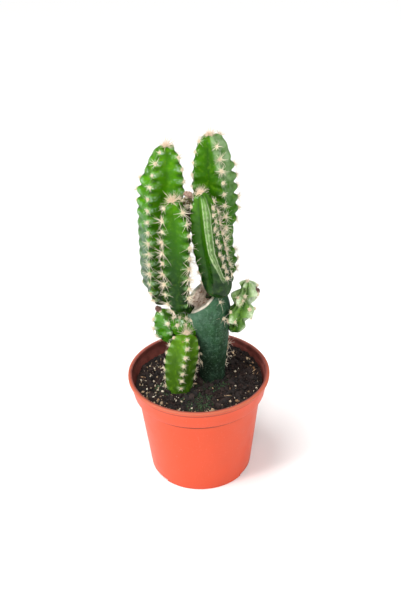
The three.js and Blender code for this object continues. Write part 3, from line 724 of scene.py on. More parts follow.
def neckTube(neck):
    # The narrow joint by which a branch grows out of its carrier, slightly waisted and wavy
    neck = {**plainNeck, **neck}
    start, end = Vector(neck["from"]), Vector(neck["to"])
    way = end - start
    across = way.cross(Vector((0, 0, 1))).normalized()
    upwards = across.cross(way).normalized()
    points = []
    for level in range(neck["levels"] + 1):
        share = level / neck["levels"]
        hump = math.sin(math.pi * share)
        reach = neck["radius"] + (neck["endRadius"] - neck["radius"]) * share
        reach *= 1 - neck["waist"] * hump ** 2
        reach += neck["belly"] * math.sqrt(math.sin(math.pi * min(share, 0.999)))
        for side in range(neck["sides"]):
            angle = 2 * math.pi * side / neck["sides"]
            spot = start + way * share + (across * math.cos(angle) + upwards * math.sin(angle)) * reach
            spot.z -= neck["sag"] * hump
            bulge = noise.noise(spot / 5) * neck["lumps"]
            points.append(spot + (spot - start - way * share).normalized() * bulge)
    points += [start, end]
    values = {key: np.full(len(points), neck.get(key, 0))
              for key in ("valley", "knob", "band", "lean", "dustAndSheen", "along")}
    tube = closedSkin("neck", points, neck["sides"], values)
    tube.data.flip_normals()         # its rings run clockwise
    return tube


# Flesh of the stems: colours from foot to tip, and how waxy and how bloomed the skin is

plainFlesh = {
    "shaded": (0.0, 0.4),    # where along the stem the foot's colour ends
    "grooved": 0.5,          # shares of the groove's colour, and of painted shade as a dark line in it and between areoles
    "line": 0.4,
    "between": 0.65,
    "patches": 1.0,
    "bright": "#78a81c",
    "glintStreak": 0.55,          # painted highlights: pale streaks from each areole towards the groove
    "glintColour": "#a0c4a4",
    "worn": 1.0,             # how much of the ridge's colour shows on the crests: pale worn skin with a painted highlight on the knobs
    "dustAndSheen": "#8ea79a",
    "dustAndSheenShare": 0.68,
    "coat": 0.09,
    "bloom": 0.03,
    "mottle": "#1d3c08",
    "cork": "#8f7a54",
    "powder": "#8ea79a",
}

fleshFinishes = {
    "trunk": {
        "foot": "#141e14", "middle": "#284c2e", "tip": "#3a5e40", "groove": "#1a3620", "ridge": "#4c7060",
        "bloom": 0.1, "rough": (0.42, 0.6), "between": 0.0, "line": 0.3, "shaded": (0.22, 0.7),
        "glintStreak": 0.0, "bright": "#3c6444", "worn": 0.15},
    "stem_back_left": {
        "foot": "#162410", "middle": "#408002", "tip": "#4e8c06", "groove": "#3c7a00", "ridge": "#86ac68",
        "shaded": (0.1, 0.46), "dustAndSheen": "#66786c", "rough": (0.2, 0.4), "glintStreak": 1.0, "coat": 0.18,
        "line": 0.1, "dustAndSheenShare": 0.9, "glintColour": "#b4d0c0"},
    "stem_back_right": {
        "foot": "#1c3c0c", "middle": "#2c6000", "tip": "#3e7602", "groove": "#2a5e00", "ridge": "#8cb06c",
        "dustAndSheen": "#8ea87c", "bloom": 0.02, "rough": (0.22, 0.42), "glintStreak": 0.15, "between": 0.35,
        "worn": 0.5, "dustAndSheenShare": 0.85},
    "stem_front_left": {
        "foot": "#0a2404", "middle": "#366e00", "tip": "#3e7404", "groove": "#387600", "ridge": "#78a456",
        "bloom": 0.02, "rough": (0.2, 0.36), "shaded": (0.26, 0.78), "coat": 0.16, "line": 0.15,
        "patches": 0.5, "dustAndSheen": "#2e5428", "dustAndSheenShare": 0.4, "grooved": 0.15},
    "stem_front_right": {
        "foot": "#0a260a", "middle": "#2a5a02", "tip": "#4a7c1c", "groove": "#225004", "ridge": "#74985a",
        "rough": (0.18, 0.3), "coat": 0.26, "shaded": (0.14, 0.6), "glintStreak": 0, "worn": 0.1,
        "patches": 0.25,
        # half widths at foot and top, lines as place, half width and strength
        "strip": {"foot": 0.18, "top": 0.56, "hook": -0.7, "opacity": 0.5, "colour": "#86a864",
                  "line": "#cedcb0", "lines": [(-0.8, 0.3, 0.7), (0.1, 0.2, 0.35), (0.75, 0.24, 0.5)]}},
    "stem_middle": {
        "foot": "#20360e", "middle": "#34341a", "tip": "#6a4c3a", "groove": "#2c2814", "ridge": "#7a5c46",
        "bloom": 0.02, "rough": (0.5, 0.7)},
    "pup_front": {
        "foot": "#142808", "middle": "#3e6016", "tip": "#568410", "groove": "#40680c", "ridge": "#a4c080",
        "rough": (0.26, 0.42), "line": 0.1, "between": 0.2, "glintStreak": 0.25},
    "pup_left": {
        "foot": "#1c4406", "middle": "#3a7e04", "tip": "#5c8c34", "groove": "#3c8400", "ridge": "#bcd4a4",
        "rough": (0.16, 0.26), "coat": 0.6, "glintColour": "#e2ece0", "glintStreak": 1.0},
    "pup_right": {
        "foot": "#2c5018", "middle": "#769e4e", "tip": "#b2cc92", "groove": "#264a10", "ridge": "#d2e0bc",
        "dustAndSheen": "#cad8bc", "bloom": 0.08, "rough": (0.34, 0.5), "between": 0.4, "grooved": 0.85,
        "line": 0.7},
}

# Of these, foot is a painted shadow low on the trunk's left, and shoulder a painted highlight on its left shoulder
oldSkinTones = {"cloud": "#3e5e4c", "hollow": "#1a3020", "foot": "#1e2a20", "shoulder": "#587a64",
                "fleck": "#688870", "speckle": "#7c9880", "cork": "#122016"}
dryTones = {"wood": ("#9a745e", "#f8e6d6"), "rim": ("#dccab4", "#fbf2e2")}


def wornStrip(paint, strip, along, patchy, cloud):
    # A worn pale strip down a bare rib: it narrows and bends aside at its foot, with rubbed lines in it
    wander = (cloud + patchy - 1.0) * 0.26
    across = paint.kept("lean") + wander - spread(along, 0.48, 0.18, 0, strip["hook"])
    ratio = across / spread(along, 0.12, 0.8, strip["foot"], strip["top"])
    onRib = spread(paint.kept("band"), 0.05, 0.2) * (spread(along, 0.18, 0.24) * spread(along, 0.99, 0.9))
    rubbed = onRib * spread(patchy, 0.25, 0.6, 0.45, 1)
    face = spread(calc("ABSOLUTE", ratio), 1.1, 0.8, 0, strip["opacity"])
    paint.layer(face * rubbed, strip["colour"])
    for centre, reach, share in strip["lines"]:
        line = spread(calc("ABSOLUTE", ratio - centre), 0.04, reach, share, 0)
        paint.layer(line * rubbed, strip["line"])


def oldSkin(paint):
    # Old skin is dark and blue-green, with corky speckles, a painted shadow low on its left, a painted highlight on
    # its left shoulder, and a dried cut on top
    tones = oldSkinTones
    cork = addBeside("ShaderNodeTexVoronoi", {"Vector": paint.place, "Scale": 420.0})
    right, height = paint.axis("X"), paint.axis("Z")
    # Painted highlight: a grey-blue patch on the trunk's upper left shoulder
    shoulder = spread(height, 0.122, 0.15) * spread(right, 0.016, -0.002)
    paint.layer(spread(paint.grain(70, 3), 0.42, 0.62, 0, 0.6), tones["cloud"])
    paint.layer(spread(paint.grain(110, 4, 0.7), 0.5, 0.36, 0, 0.7), tones["hollow"])
    # Painted shadow of pup_front: darker low on the trunk's left side
    paint.layer(spread(height, 0.13, 0.1) * spread(right, 0.02, 0.004, 0.25, 0.75), tones["foot"])
    paint.layer(shoulder * spread(paint.grain(160, 3), 0.3, 0.6, 0.2, 0.75), tones["shoulder"])
    paint.layer(spread(paint.grain(420, 3), 0.54, 0.7, 0, 0.42), tones["fleck"])
    paint.layer(spread(paint.grain(900, 2), 0.56, 0.76, 0, 0.3), tones["speckle"])
    paint.layer(spread(cork.of("Distance"), 0.1, 0.3, 0.35, 0), tones["cork"])
    wood = grain(paint.squashed(0.35), 420, 4, 0.65)
    paint.layer(paint.kept("scar"), blend(spread(wood, 0.35, 0.65), *dryTones["wood"]))
    paint.layer(paint.kept("rim"), blend(spread(wood, 0.3, 0.7), *dryTones["rim"]))


def fleshMaterial(name):
    look, paint = {**plainFlesh, **fleshFinishes[name]}, Paint(name + "Flesh")
    along, valley, knob = (paint.kept(key) for key in ("along", "valley", "knob"))
    cloud, patchy, mottle, dustAndSheen = (paint.grain(*sizes) for sizes in ((55, 4), (420, 2), (260, 3), (1500, 2)))
    height = along + (cloud - 0.5) * 0.35
    paint.colour = blend(spread(height, *look["shaded"]), look["foot"], look["middle"])
    paint.layer(spread(height, 0.6, 1.0), look["tip"])
    # Painted shade: the groove's colour in the valleys where it is darker, as on the trunk and pup_right, a dark
    # line down the groove, and dark notches between the areoles
    paint.layer(spread(valley, 0.6, 0.92, 0, look["grooved"]), look["groove"])
    paint.layer(spread(valley, 0.9, 1.0, 0, look["line"]) * spread(cloud, 0.35, 0.6, 0.3, 1), look["foot"])
    paint.layer(spread(1.0 - valley - knob, 0.3, 0.8, 0, look["between"]), look["foot"])
    paint.layer(spread(paint.grain(300, 3), 0.5, 0.7, 0, 0.32 * look["patches"]), look["bright"])
    paint.layer(spread(paint.grain(130, 3), 0.52, 0.34, 0, 0.42 * look["patches"]), look["foot"])
    # Painted highlights: pale streaks run from each areole towards the groove
    glintStreak = spread(knob / calc("MAXIMUM", 1.0 - valley, 0.05), 0.7, 1.0) * spread(valley, 0.8, 0.1)
    broken = spread(paint.grain(480, 3, 0.65), 0.46, 0.64, 0, look["glintStreak"])
    paint.layer(glintStreak * broken, look["glintColour"])
    # Pale ridge colour on the knobs: partly worn skin, partly a painted highlight
    paint.layer(spread(knob, 0.35, 0.95, 0, look["worn"]) * spread(patchy, 0.3, 0.6), look["ridge"])
    if "strip" in look:
        wornStrip(paint, look["strip"], along, patchy, cloud)
    # A pale film on one flank: partly dust, partly a painted sheen of side light on that flank
    dustAndSheenPatches = paint.kept("dustAndSheen") * spread(paint.grain(160, 4, 0.7), 0.3, 0.6)
    paint.layer(dustAndSheenPatches * look["dustAndSheenShare"], look["dustAndSheen"])
    paint.layer(spread(mottle, 0.42, 0.62, 0, 0.25), look["mottle"])
    spots = addBeside("ShaderNodeTexVoronoi", {"Vector": paint.place, "Scale": 95.0})
    rare = spread(addBeside("ShaderNodeSeparateColor", {0: spots.of("Color")}), 0.8, 0.82)
    paint.layer(spread(spots.of("Distance") + mottle * 0.12, 0.17, 0.13) * rare * 0.6, look["cork"])
    paint.layer(spread(dustAndSheen, 0.52, 0.7) * look["bloom"], look["powder"])
    if name == "trunk":
        oldSkin(paint)
    waxy, dull = look["rough"]
    paint.shader.inputs["Coat Weight"].default_value = look["coat"]
    paint.shader.inputs["Coat Roughness"].default_value = 0.15
    return paint.finish(mottle * 0.16 + spread(valley, 0.2, 0.9, waxy - 0.08, dull - 0.08), gloss=0.03,
                        relief=mottle * 0.8 + dustAndSheen * 0.35, strength=0.5, depth=0.35)


# The scar on the trunk's top, where it was cut back: a dried, cracked dish with a pale raised rim

scar = {
    "point": (1, 6, 161.7),
    "normal": (-0.62, -0.2, 0.75),
    "dish": 1.9,
    "rim": 0.9,
    "levels": 22,
    "wrinkle": 0.45,
    "wideTowards": 2.0,      # angle at which the rim is widest, in radians
}


def cutScar(trunk):
    point, normal = Vector(scar["point"]) * mm, Vector(scar["normal"]).normalized()
    shape = bmesh.new()
    shape.from_mesh(trunk.data)
    everything = list(shape.verts) + list(shape.edges) + list(shape.faces)
    bmesh.ops.bisect_plane(shape, geom=everything, plane_co=point, plane_no=normal, clear_outer=True)
    scarLayer, rimLayer = (shape.verts.layers.float.new(name) for name in ("scar", "rim"))
    edge = [v for v in shape.verts if v.is_boundary]
    centre = sum((v.co for v in edge), Vector()) / len(edge)
    across = normal.cross(Vector((0, 1, 0))).normalized()
    upwards = normal.cross(across)
    def angleOf(vertex):
        return math.atan2((vertex.co - centre) @ upwards, (vertex.co - centre) @ across)
    loop = sorted(edge, key=angleOf)
    previous = loop
    for level in range(1, scar["levels"]):
        share = level / scar["levels"]
        ring = []
        for start in loop:
            spot = start.co.lerp(centre, share)
            here = spot / mm
            lower = 0.5 + 0.5 * math.cos(angleOf(start) - scar["wideTowards"])
            lower *= 0.85 + 0.5 * noise.noise(start.co / mm / 3)
            rise = scar["rim"] * (0.7 + 0.6 * lower) * math.exp(-((share - 0.13) / 0.08) ** 2)
            rise -= scar["dish"] * smoothStep(share, 0.16, 0.55)
            crack = noise.noise(here / 2.6) + 0.5 * math.sin(here.x * 1.7 + 3 * noise.noise(here / 5))
            rise += scar["wrinkle"] * crack * smoothStep(share, 0.12, 0.3)
            vertex = shape.verts.new(spot + normal * rise * mm)
            vertex[scarLayer] = smoothStep(share, 0.16, 0.28)
            inner = smoothStep(share, 0.15 + 0.24 * lower, 0.26 + 0.36 * lower)
            vertex[rimLayer] = (0.35 + 0.65 * lower) * (1 - inner)
            ring.append(vertex)
        for i, vertex in enumerate(ring):
            shape.faces.new((previous[i - 1], previous[i], vertex, ring[i - 1]))
        previous = ring
    heart = shape.verts.new(centre - normal * scar["dish"] * mm)
    heart[scarLayer] = 1
    for i, vertex in enumerate(previous):
        shape.faces.new((previous[i - 1], vertex, heart))
    bmesh.ops.recalc_face_normals(shape, faces=shape.faces)
    meshFrom(shape, trunk.data)


# Areoles: where they sit on a stem, and which way they face

areoles = {
    "sink": 0.35,             # how far the cushion sits in the crest
    "tuftRing": 1.7,          # radius of the ring of areoles at the tip
    "nearest": 2.4,           # an areole keeps this far from other stems
    "easy": 7.0,              # spines are full length where other stems are this far
    "tilt": 0.36,             # how far a fan leans out of true
    "sizes": (0.62, 1.28),
    "clearOfScar": 2.5,
}

envelopes = {name: stemRings(plan, 1) for name, plan in stemPlans.items()}


def roomAt(spot, name):
    # How far a spot is from the other stems
    return min(np.min(np.linalg.norm(rings["centre"] - spot, axis=1) - rings["radius"])
               for other, rings in envelopes.items() if other != name)


def hasAreole(plan, rib, row, height):
    # Ribs take turns from row to row, and worn, bare or low stretches have none
    worn = any(rib == dent[0] and abs(height - dent[1]) < dent[2] - 3 for dent in plan["dents"])
    between = (row + rib) % 2 and not plan["everyRow"]
    return not (between or worn or rib in plan["bareRibs"] or height < plan["spineFrom"])


def areoleMesh(name, plan, knobAreoles):
    rings, draw, found = envelopes[name], random.Random(name), []
    def put(spot, out, up, size, fresh):
        room = roomAt(spot, name)
        if room > areoles["nearest"]:
            tilted = unit(out + np.array([draw.uniform(-1, 1) for axis in range(3)]) * areoles["tilt"])
            size = size * min(1, room / areoles["easy"]) * draw.uniform(*areoles["sizes"])
            found.append((spot - out * areoles["sink"], tilted, up, size, fresh))
    for rib in range(plan["ribs"]):
        radial = outward(rings, plan["turn"] + rib * 360 / plan["ribs"])
        crest = crestRadius(plan, rings, rib)
        for row in range(2, rings["rows"] - 1):
            centre, tangent, flare = rings["centre"][row], rings["tangent"][row], rings["flare"][row]
            spot = centre + radial[row] * crest[row]
            overScar = (spot - np.array(scar["point"])) @ np.array(scar["normal"])
            onScar = name == "trunk" and overScar > -areoles["clearOfScar"]
            if hasAreole(plan, rib, row, centre[2]) and not onScar:
                out = radial[row] * math.cos(flare) - tangent * math.sin(flare)
                up = tangent * math.cos(flare) + radial[row] * math.sin(flare)
                young = plan["fresh"] * smoothStep(rings["rise"][row], 0.35, 0.8)
                put(spot, out, up, plan["spineSizes"][rib], young)
    for x, y, z, *way in plan["extraAreoles"] + knobAreoles:
        out = unit(way)
        found.append(((x, y, z), out, unit(np.array([0, 0, 1.0]) - out * out[2]), plan["extraSize"], 0.0))
    if plan["tuft"]:
        tip, tangent, around = rings["centre"][-1], rings["tangent"][-2], plan["tuft"] - 1
        put(tip, tangent, rings["front"][-2], 1.5 * plan["tuftSize"], 1.0)
        for i in range(around):
            ray = outward(rings, 360 * i / around + plan["turn"])[-2]
            put(tip + ray * areoles["tuftRing"] - tangent * 0.8, tangent * 0.85 + ray * 0.52,
                tangent * 0.52 - ray * 0.85, 1.25 * plan["tuftSize"], 1.0)
    spots, *values = (np.array(column) for column in zip(*found))
    return meshOf(name + "Areoles", spots, [], dict(zip(("out", "up", "size", "young"), values)))


def spineTree():
    # Needles fanned out from each areole: each is a slim bent cone
    tree, sizes = geometryTree("fanOfSpines", {
        "Spines": 12, "Length": 5.2 * mm, "Thickness": 0.17 * mm, "Lean": 78.0, "Bend": 0.12,
        "Sides": 5, "Shorter": 0.22, "Upright": 0.2, "Fewer": 0.35, "Seed": 3, "Material": None})
    seed, young, size = sizes["Seed"], named(tree, "young"), named(tree, "size")
    out, up = named(tree, "out", "FLOAT_VECTOR"), named(tree, "up", "FLOAT_VECTOR")
    # The crowded areoles of a growing tip have fewer needles each
    atTip = spread(young, 0.92, 1.0)
    copies = addBeside("GeometryNodeDuplicateElements", {
        "Geometry": sizes["Geometry"], "Amount": sizes["Spines"] * (1.0 - atTip * sizes["Fewer"])}, domain="POINT")
    order = copies.of("Duplicate Index")
    # The golden angle and a square root spread the needles evenly over the cap
    azimuth = order * goldenAngle + randomIn(-0.3, 0.3, seed)
    share = calc("SQRT", (order + 0.6) / sizes["Spines"])
    leaned = share * sizes["Lean"] * randomIn(0.82, 1.12, seed, 1)
    lean = calc("RADIANS", leaned * (1.0 - atTip * sizes["Upright"]))
    right = vectorCalc("CROSS_PRODUCT", up, out)
    flat = vectorCalc("ADD", scaled(right, calc("COSINE", azimuth)), scaled(up, calc("SINE", azimuth)))
    way = vectorCalc("ADD", scaled(out, calc("COSINE", lean)), scaled(flat, calc("SINE", lean)))
    # Needles at the edge of the fan are longer than those that stand up
    stretch = randomIn(0.55, 1.1, seed, 3) * (share * 0.5 + 0.6) * size
    length = stretch * (1.0 - young * sizes["Shorter"]) * sizes["Length"]
    thick = sizes["Thickness"] * randomIn(0.75, 1.2, seed, 4)
    cone = addBeside("GeometryNodeMeshCone", {
        "Vertices": sizes["Sides"], "Side Segments": 3, "Radius Top": 0.12, "Radius Bottom": 1.0, "Depth": 1.0})
    rise = addBeside("ShaderNodeSeparateXYZ", {0: add(tree, "GeometryNodeInputPosition")}, output="Z")
    bent = moved(cone, combined(rise * rise * sizes["Bend"] * sizes["Length"] / sizes["Thickness"], 0, 0))
    graded = addBeside("GeometryNodeStoreNamedAttribute", {"Geometry": bent, "Name": "reach", "Value": rise},
                       data_type="FLOAT", domain="POINT")
    rotation = standing(way, randomIn(0.0, fullTurn, seed, 2))
    needles = placed(copies, graded, rotation, combined(thick, thick, length))
    return endTree(tree, sizes, shaded(needles, seed, 5))


def cushionTree():
    # A small felted cushion under each fan of spines
    tree, sizes = geometryTree("feltCushions", {
        "Width": 1.4 * mm, "Height": 1.0 * mm, "Ruffle": 0.3 * mm, "Seed": 5, "Material": None})
    seed = sizes["Seed"]
    ball = add(tree, "GeometryNodeMeshIcoSphere", {"Radius": 1.0, "Subdivisions": 3})
    ease = randomIn(0.75, 1.15, seed, 1) * calc("POWER", named(tree, "size"), 0.05)
    wide, tall = sizes["Width"] * ease, sizes["Height"] * ease
    rotation = standing(named(tree, "out", "FLOAT_VECTOR"), randomIn(0.0, fullTurn, seed))
    cushions = shaded(placed(sizes["Geometry"], ball, rotation, combined(wide, wide, tall)), seed, 2)
    return endTree(tree, sizes, roughBall(tree, cushions, 1600.0, 1.0, 0.45, sizes["Ruffle"], 3.0))


spineLook = {"root": "#9c8258", "shaft": "#f1e4cc", "tip": "#fdf5e8", "grey": "#a89878",
             "young": "#f0c6ae", "stain": "#8c6a42"}
feltLook = {"pale": "#efe6d0", "tan": "#b09a70", "aged": "#b89c78", "depth": 0.25}


def spineMaterial():
    paint, look = Paint("spineHorn"), spineLook
    reach = paint.kept("reach")
    paint.colour = blend(spread(reach, 0.0, 0.22), look["root"], look["shaft"])
    paint.layer(spread(reach, 0.78, 1.0, 0, 0.7), look["tip"])
    paint.layer(spread(paint.kept("shade"), 0.55, 1.0, 0, 0.8), look["grey"])
    paint.layer(spread(paint.kept("young"), 0.92, 1.0, 0, 0.3), look["young"])
    paint.layer(spread(paint.grain(2600, 2), 0.5, 0.75, 0, 0.25), look["stain"])
    return paint.finish(0.45)


def feltMaterial():
    paint = Paint("areoleFelt")
    fuzz = paint.grain(3200, 3, 0.7)
    paint.colour = blend(spread(fuzz, 0.35, 0.65), feltLook["tan"], feltLook["pale"])
    paint.layer(spread(paint.kept("shade"), 0.6, 1.0, 0, 0.5), feltLook["aged"])
    return paint.finish(0.95, gloss=0.15, relief=fuzz, strength=0.9, depth=feltLook["depth"])


def huskMaterial(name, dark, pale):
    paint = Paint(name)
    husk = paint.grain(700, 4, 0.7)
    paint.colour = blend(spread(husk, 0.35, 0.65), dark, pale)
    return paint.finish(0.8, relief=husk, strength=0.9, depth=0.5)


# Needles to an areole, their size, and the long stray ones among them
plainFan = {"spines": 20, "length": 6.6, "thickness": 0.24, "long": 6}
fans = {
    "stem_back_left": {"spines": 18, "length": 5.8},
    "trunk": {"spines": 7, "length": 9, "thickness": 0.2, "long": 3},
    "pup_front": {"spines": 18, "length": 3.9, "thickness": 0.2, "long": 3},
    "pup_left": {"spines": 18, "length": 5.6, "thickness": 0.22, "long": 4},
    "pup_right": {"spines": 12, "length": 4.8, "thickness": 0.2, "long": 3},
    "stem_middle": {"spines": 14, "length": 4.6, "thickness": 0.2, "long": 3},
}

# Dried remains of flowers and tips: dark and pale colour, then each one's place and size
driedBuds = {
    "pup_left": ("#3a2420", "#8a6458", [((-32.6, 8.6, 153), 1.0), ((-31.8, 9.6, 151.6), 0.8)]),
    "pup_right": ("#3a2420", "#8a6458", [((47.5, 5, 171), 0.9), ((49.3, 6, 168.6), 0.6)]),
    "stem_middle": ("#6c4c3e", "#d6b6a2", [((-5.6, 8.8, 256.2), 0.9), ((-3.4, 8.2, 255.4), 0.65)]),
}


def makeBuds(tree):
    for stem, (dark, pale, buds) in driedBuds.items():
        places, sizes = zip(*buds)
        seeds = meshOf(stem + "Buds", places, [], {"out": [(0, 0, 1.0)] * len(buds), "size": sizes})
        piece = grow(stem + "_dry_bud", seeds, tree, {
            "Width": 2.0 * mm, "Height": 2.3 * mm, "Ruffle": 1.1 * mm, "Seed": 90,
            "Material": huskMaterial(stem + "DriedBud", dark, pale)})
        finishPiece(piece, slot=stem)


def makeBody(name, plan):
    # A stem's skin with its neck. Gives the areoles of its lumps.
    body, knobAreoles = stemSkin(name + "_skin", plan)
    if name == "trunk":
        cutScar(body)
    body.data.materials.append(fleshMaterial(name))
    if plan["neck"]:
        tube = neckTube(plan["neck"])
        tube.data.materials.append(body.data.materials[0])
        joinBody(body, tube, "UNION")
    finishPiece(body, name, slot=name)
    return knobAreoles


def makeStems():
    spines, felt, horn, wool = spineTree(), cushionTree(), spineMaterial(), feltMaterial()
    makeBuds(felt)
    for order, (name, plan) in enumerate(stemPlans.items()):
        spots = areoleMesh(name, plan, makeBody(name, plan))
        fan = {**plainFan, **fans.get(name, {})}
        coats = {
            "_spines": (spines, {
                "Spines": fan["spines"], "Length": fan["length"] * mm, "Thickness": fan["thickness"] * mm,
                "Lean": 86.0, "Seed": 10 + order, "Material": horn}),
            "_long_spines": (spines, {
                "Spines": fan["long"], "Length": fan["length"] * 1.4 * mm, "Shorter": 0.6, "Bend": 0.22,
                "Thickness": fan["thickness"] * 0.7 * mm, "Lean": 98.0, "Seed": 110 + order, "Material": horn}),
            "_wool": (spines, {
                "Spines": 22, "Length": 2.2 * mm, "Thickness": 0.13 * mm, "Lean": 100.0, "Sides": 3,
                "Shorter": 0.75, "Seed": 30 + order, "Material": wool}),
            "_cushions": (felt, {"Seed": 50 + order, "Material": wool}),
        }
        for ending, (tree, values) in coats.items():
            finishPiece(grow(name + ending, spots.copy(), tree, values), slot=name)
        print(name, "grown:", len(spots.vertices), "areoles")


makeStems()
print("stems ready")


# Pot: a thin moulded pot with a rolled lip, a collar, a tapered wall and a foot ring in three arcs

pot = {
    "height": 95.3,
    "rimRadius": 60,
    "lipHeight": 3.2,
    "lipWidth": 3.4,
    "lipOverhang": 1.3,
    "lipRound": 1.1,
    "collarHeight": 18,
    "collarFoot": 55.7,
    "bodyTop": 52.5,
    "bodyFoot": 43.8,
    "footRadius": 43.1,
    "footWidth": 2.6,
    "footHeight": 3,
    "wall": 1.6,
    "arcs": 3,
    "arcTurn": 4,
    "notchWidth": 19,
    "notchHeight": 2.4,
    "drains": 6,
    "drainRadius": 3.2,
    "drainCircle": 31,
    "segments": 240,
    "longest": 12,           # profile points are no further apart than about this
    "colour": "#ce4822",
    "clouds": "#dc4c28",
    # The inside's and the lip's colours are partly painted shade, and the next two dark colours are painted shadows
    # under the lip and the collar
    "inner": "#8c4a42",
    "lip": "#b65a40",
    "underLipShadow": "#7c2c1a",
    "collarShadow": "#54180c",
    "scuffs": "#e89a80",
    "soiled": "#3c2018",
}
lipFoot, shoulder = pot["height"] - pot["lipHeight"], pot["height"] - pot["collarHeight"]
floorTop = pot["footHeight"] + pot["wall"]
collarInside = pot["collarFoot"] - pot["wall"]


def roundedCorner(before, corner, after, radius, steps=5):
    # An arc in place of a profile's corner
    before, corner, after = Vector(before), Vector(corner), Vector(after)
    a, b = (before - corner).normalized() * radius, (after - corner).normalized() * radius
    return [tuple(corner + a * (1 - i / steps) ** 2 + b * (i / steps) ** 2) for i in range(steps + 1)]


def potProfile():
    rim, wall, foot = pot["rimRadius"], pot["wall"], pot["footRadius"]
    collarTop, footInside = rim - pot["lipOverhang"], foot - pot["footWidth"]
    # radius, height and how round the corner is
    corners = [
        (footInside, pot["footHeight"], 0.4), (footInside, 0, 0.4), (foot, 0, 0.5), (foot + 0.1, 2.2, 0.2),
        (pot["bodyFoot"], 2.6, 0.5), (pot["bodyTop"], shoulder, 0.35), (pot["collarFoot"], shoulder, 0.9),
        (collarTop, lipFoot, 0.4), (rim, lipFoot + 0.2, 0.8), (rim, pot["height"], pot["lipRound"]),
        (rim - pot["lipWidth"], pot["height"], pot["lipRound"]), (collarTop - wall, lipFoot - 1.6, 0.8),
        (collarInside, shoulder + wall, 0.8), (pot["bodyTop"] - wall, shoulder, 0.8),
        (pot["bodyFoot"] - wall + 0.4, floorTop, 1.0)]
    ends = [(0, pot["footHeight"], 0), *corners, (0, floorTop, 0)]
    full = []
    for before, (radius, height, curve), after in zip(ends, corners, ends[2:]):
        for spot in roundedCorner(before[:2], (radius, height), after[:2], curve):
            # Long straight stretches get a few points of their own
            start = full[-1] if full else spot
            parts = int(math.dist(start, spot) // pot["longest"]) + 1
            for part in range(1, parts + 1):
                full.append(tuple(a + (b - a) * part / parts for a, b in zip(start, spot)))
    return full


def drainTool(angle):
    shape, radius, away = bmesh.new(), pot["drainRadius"] * mm, pot["drainCircle"]
    middle = Vector((away * math.cos(angle), away * math.sin(angle), pot["footHeight"])) * mm
    bmesh.ops.create_cone(shape, cap_ends=True, segments=32, radius1=radius, radius2=radius,
                          depth=8 * mm, matrix=Matrix.Translation(middle))
    return shape


def notchTool(angle):
    shape = bmesh.new()
    bmesh.ops.create_cube(shape, size=1.0)
    size = Matrix.Diagonal((4 * pot["footWidth"] * mm, pot["notchWidth"] * mm, 2 * pot["notchHeight"] * mm, 1))
    move = Matrix.Rotation(angle, 4, "Z") @ Matrix.Translation((pot["footRadius"] * mm, 0, 0))
    bmesh.ops.transform(shape, matrix=move @ size, verts=shape.verts)
    edges = [e for e in shape.edges if abs((e.verts[0].co - e.verts[1].co).normalized().z) < 0.1]
    bmesh.ops.bevel(shape, geom=edges, offset=0.5 * mm, segments=3, affect="EDGES")
    return shape


def plasticMaterial():
    # Moulded plastic: faint clouds in the colour, rubbed and soiled places, painted shadows under the lip and the
    # collar, fine draw lines up the wall
    paint = Paint("pottedPlastic")
    height, inside = paint.axis("Z"), paint.kept("inside")
    def between(low, high, *shares):
        return spread(height, low * mm, high * mm, *shares)
    paint.colour = blend(spread(paint.grain(22, 4), 0.35, 0.7, 0, 0.5), pot["colour"], pot["clouds"])
    # A darker, browner band over the lip: partly the lip's own tone, partly painted shade on its front
    paint.layer(between(lipFoot + 0.6, lipFoot + 2), pot["lip"])
    # Painted shadow: a thin dark line on the wall just under the lip
    paint.layer(between(lipFoot - 2.2, lipFoot - 1) * between(lipFoot + 0.7, lipFoot, 0, 0.8), pot["underLipShadow"])
    # The inside is darker than the wall: partly soil dust, partly painted shade
    paint.layer(inside, pot["inner"])
    # Painted shadow: a dark line on the wall just under the collar
    collarShadow = between(shoulder - 3.8, shoulder - 2.6) * between(shoulder + 0.5, shoulder)
    paint.layer(collarShadow * spread(paint.grain(60, 3), 0.3, 0.6, 0.6, 1.0), pot["collarShadow"])
    paint.layer(spread(paint.grain(700, 3, 0.7), 0.6, 0.75, 0, 0.18), pot["scuffs"])
    paint.layer(inside * spread(paint.grain(130, 4, 0.7), 0.45, 0.7) * 0.6, pot["soiled"])
    return paint.finish(paint.grain(90, 3) * 0.2 + 0.34, gloss=0.32, strength=0.18, depth=0.12,
                        relief=grain(paint.squashed(0.05), 900, 2) + paint.grain(60, 2))


def makePot():
    profile, around = potProfile(), pot["segments"]
    peak = max(range(len(profile)), key=lambda row: profile[row][1])
    lipMiddle = pot["rimRadius"] - pot["lipWidth"] / 2
    inner = [float(row > peak and radius < lipMiddle) for row, (radius, height) in enumerate(profile)]
    piece = spunSkin("nursery_pot", profile, around, (pot["footHeight"], floorTop),
                     {"inside": np.append(np.repeat(inner, around), [0, 1])})
    piece.data.materials.append(plasticMaterial())
    tools = [notchTool(math.radians(pot["arcTurn"] - 90 + (i + 0.5) * 360 / pot["arcs"]))
             for i in range(pot["arcs"])]
    tools += [drainTool((i + 0.5) * 2 * math.pi / pot["drains"]) for i in range(pot["drains"])]
    for shape in tools:
        mesh = meshFrom(shape, bpy.data.meshes.new("tool"))
        joinBody(piece, linked(bpy.data.objects.new("tool", mesh)), "DIFFERENCE")
    finishPiece(piece, "pot", slot="pot")


makePot()
print("pot ready")


# Soil: dark crumbly peat, banked up at the back right, with bark, perlite and a little moss

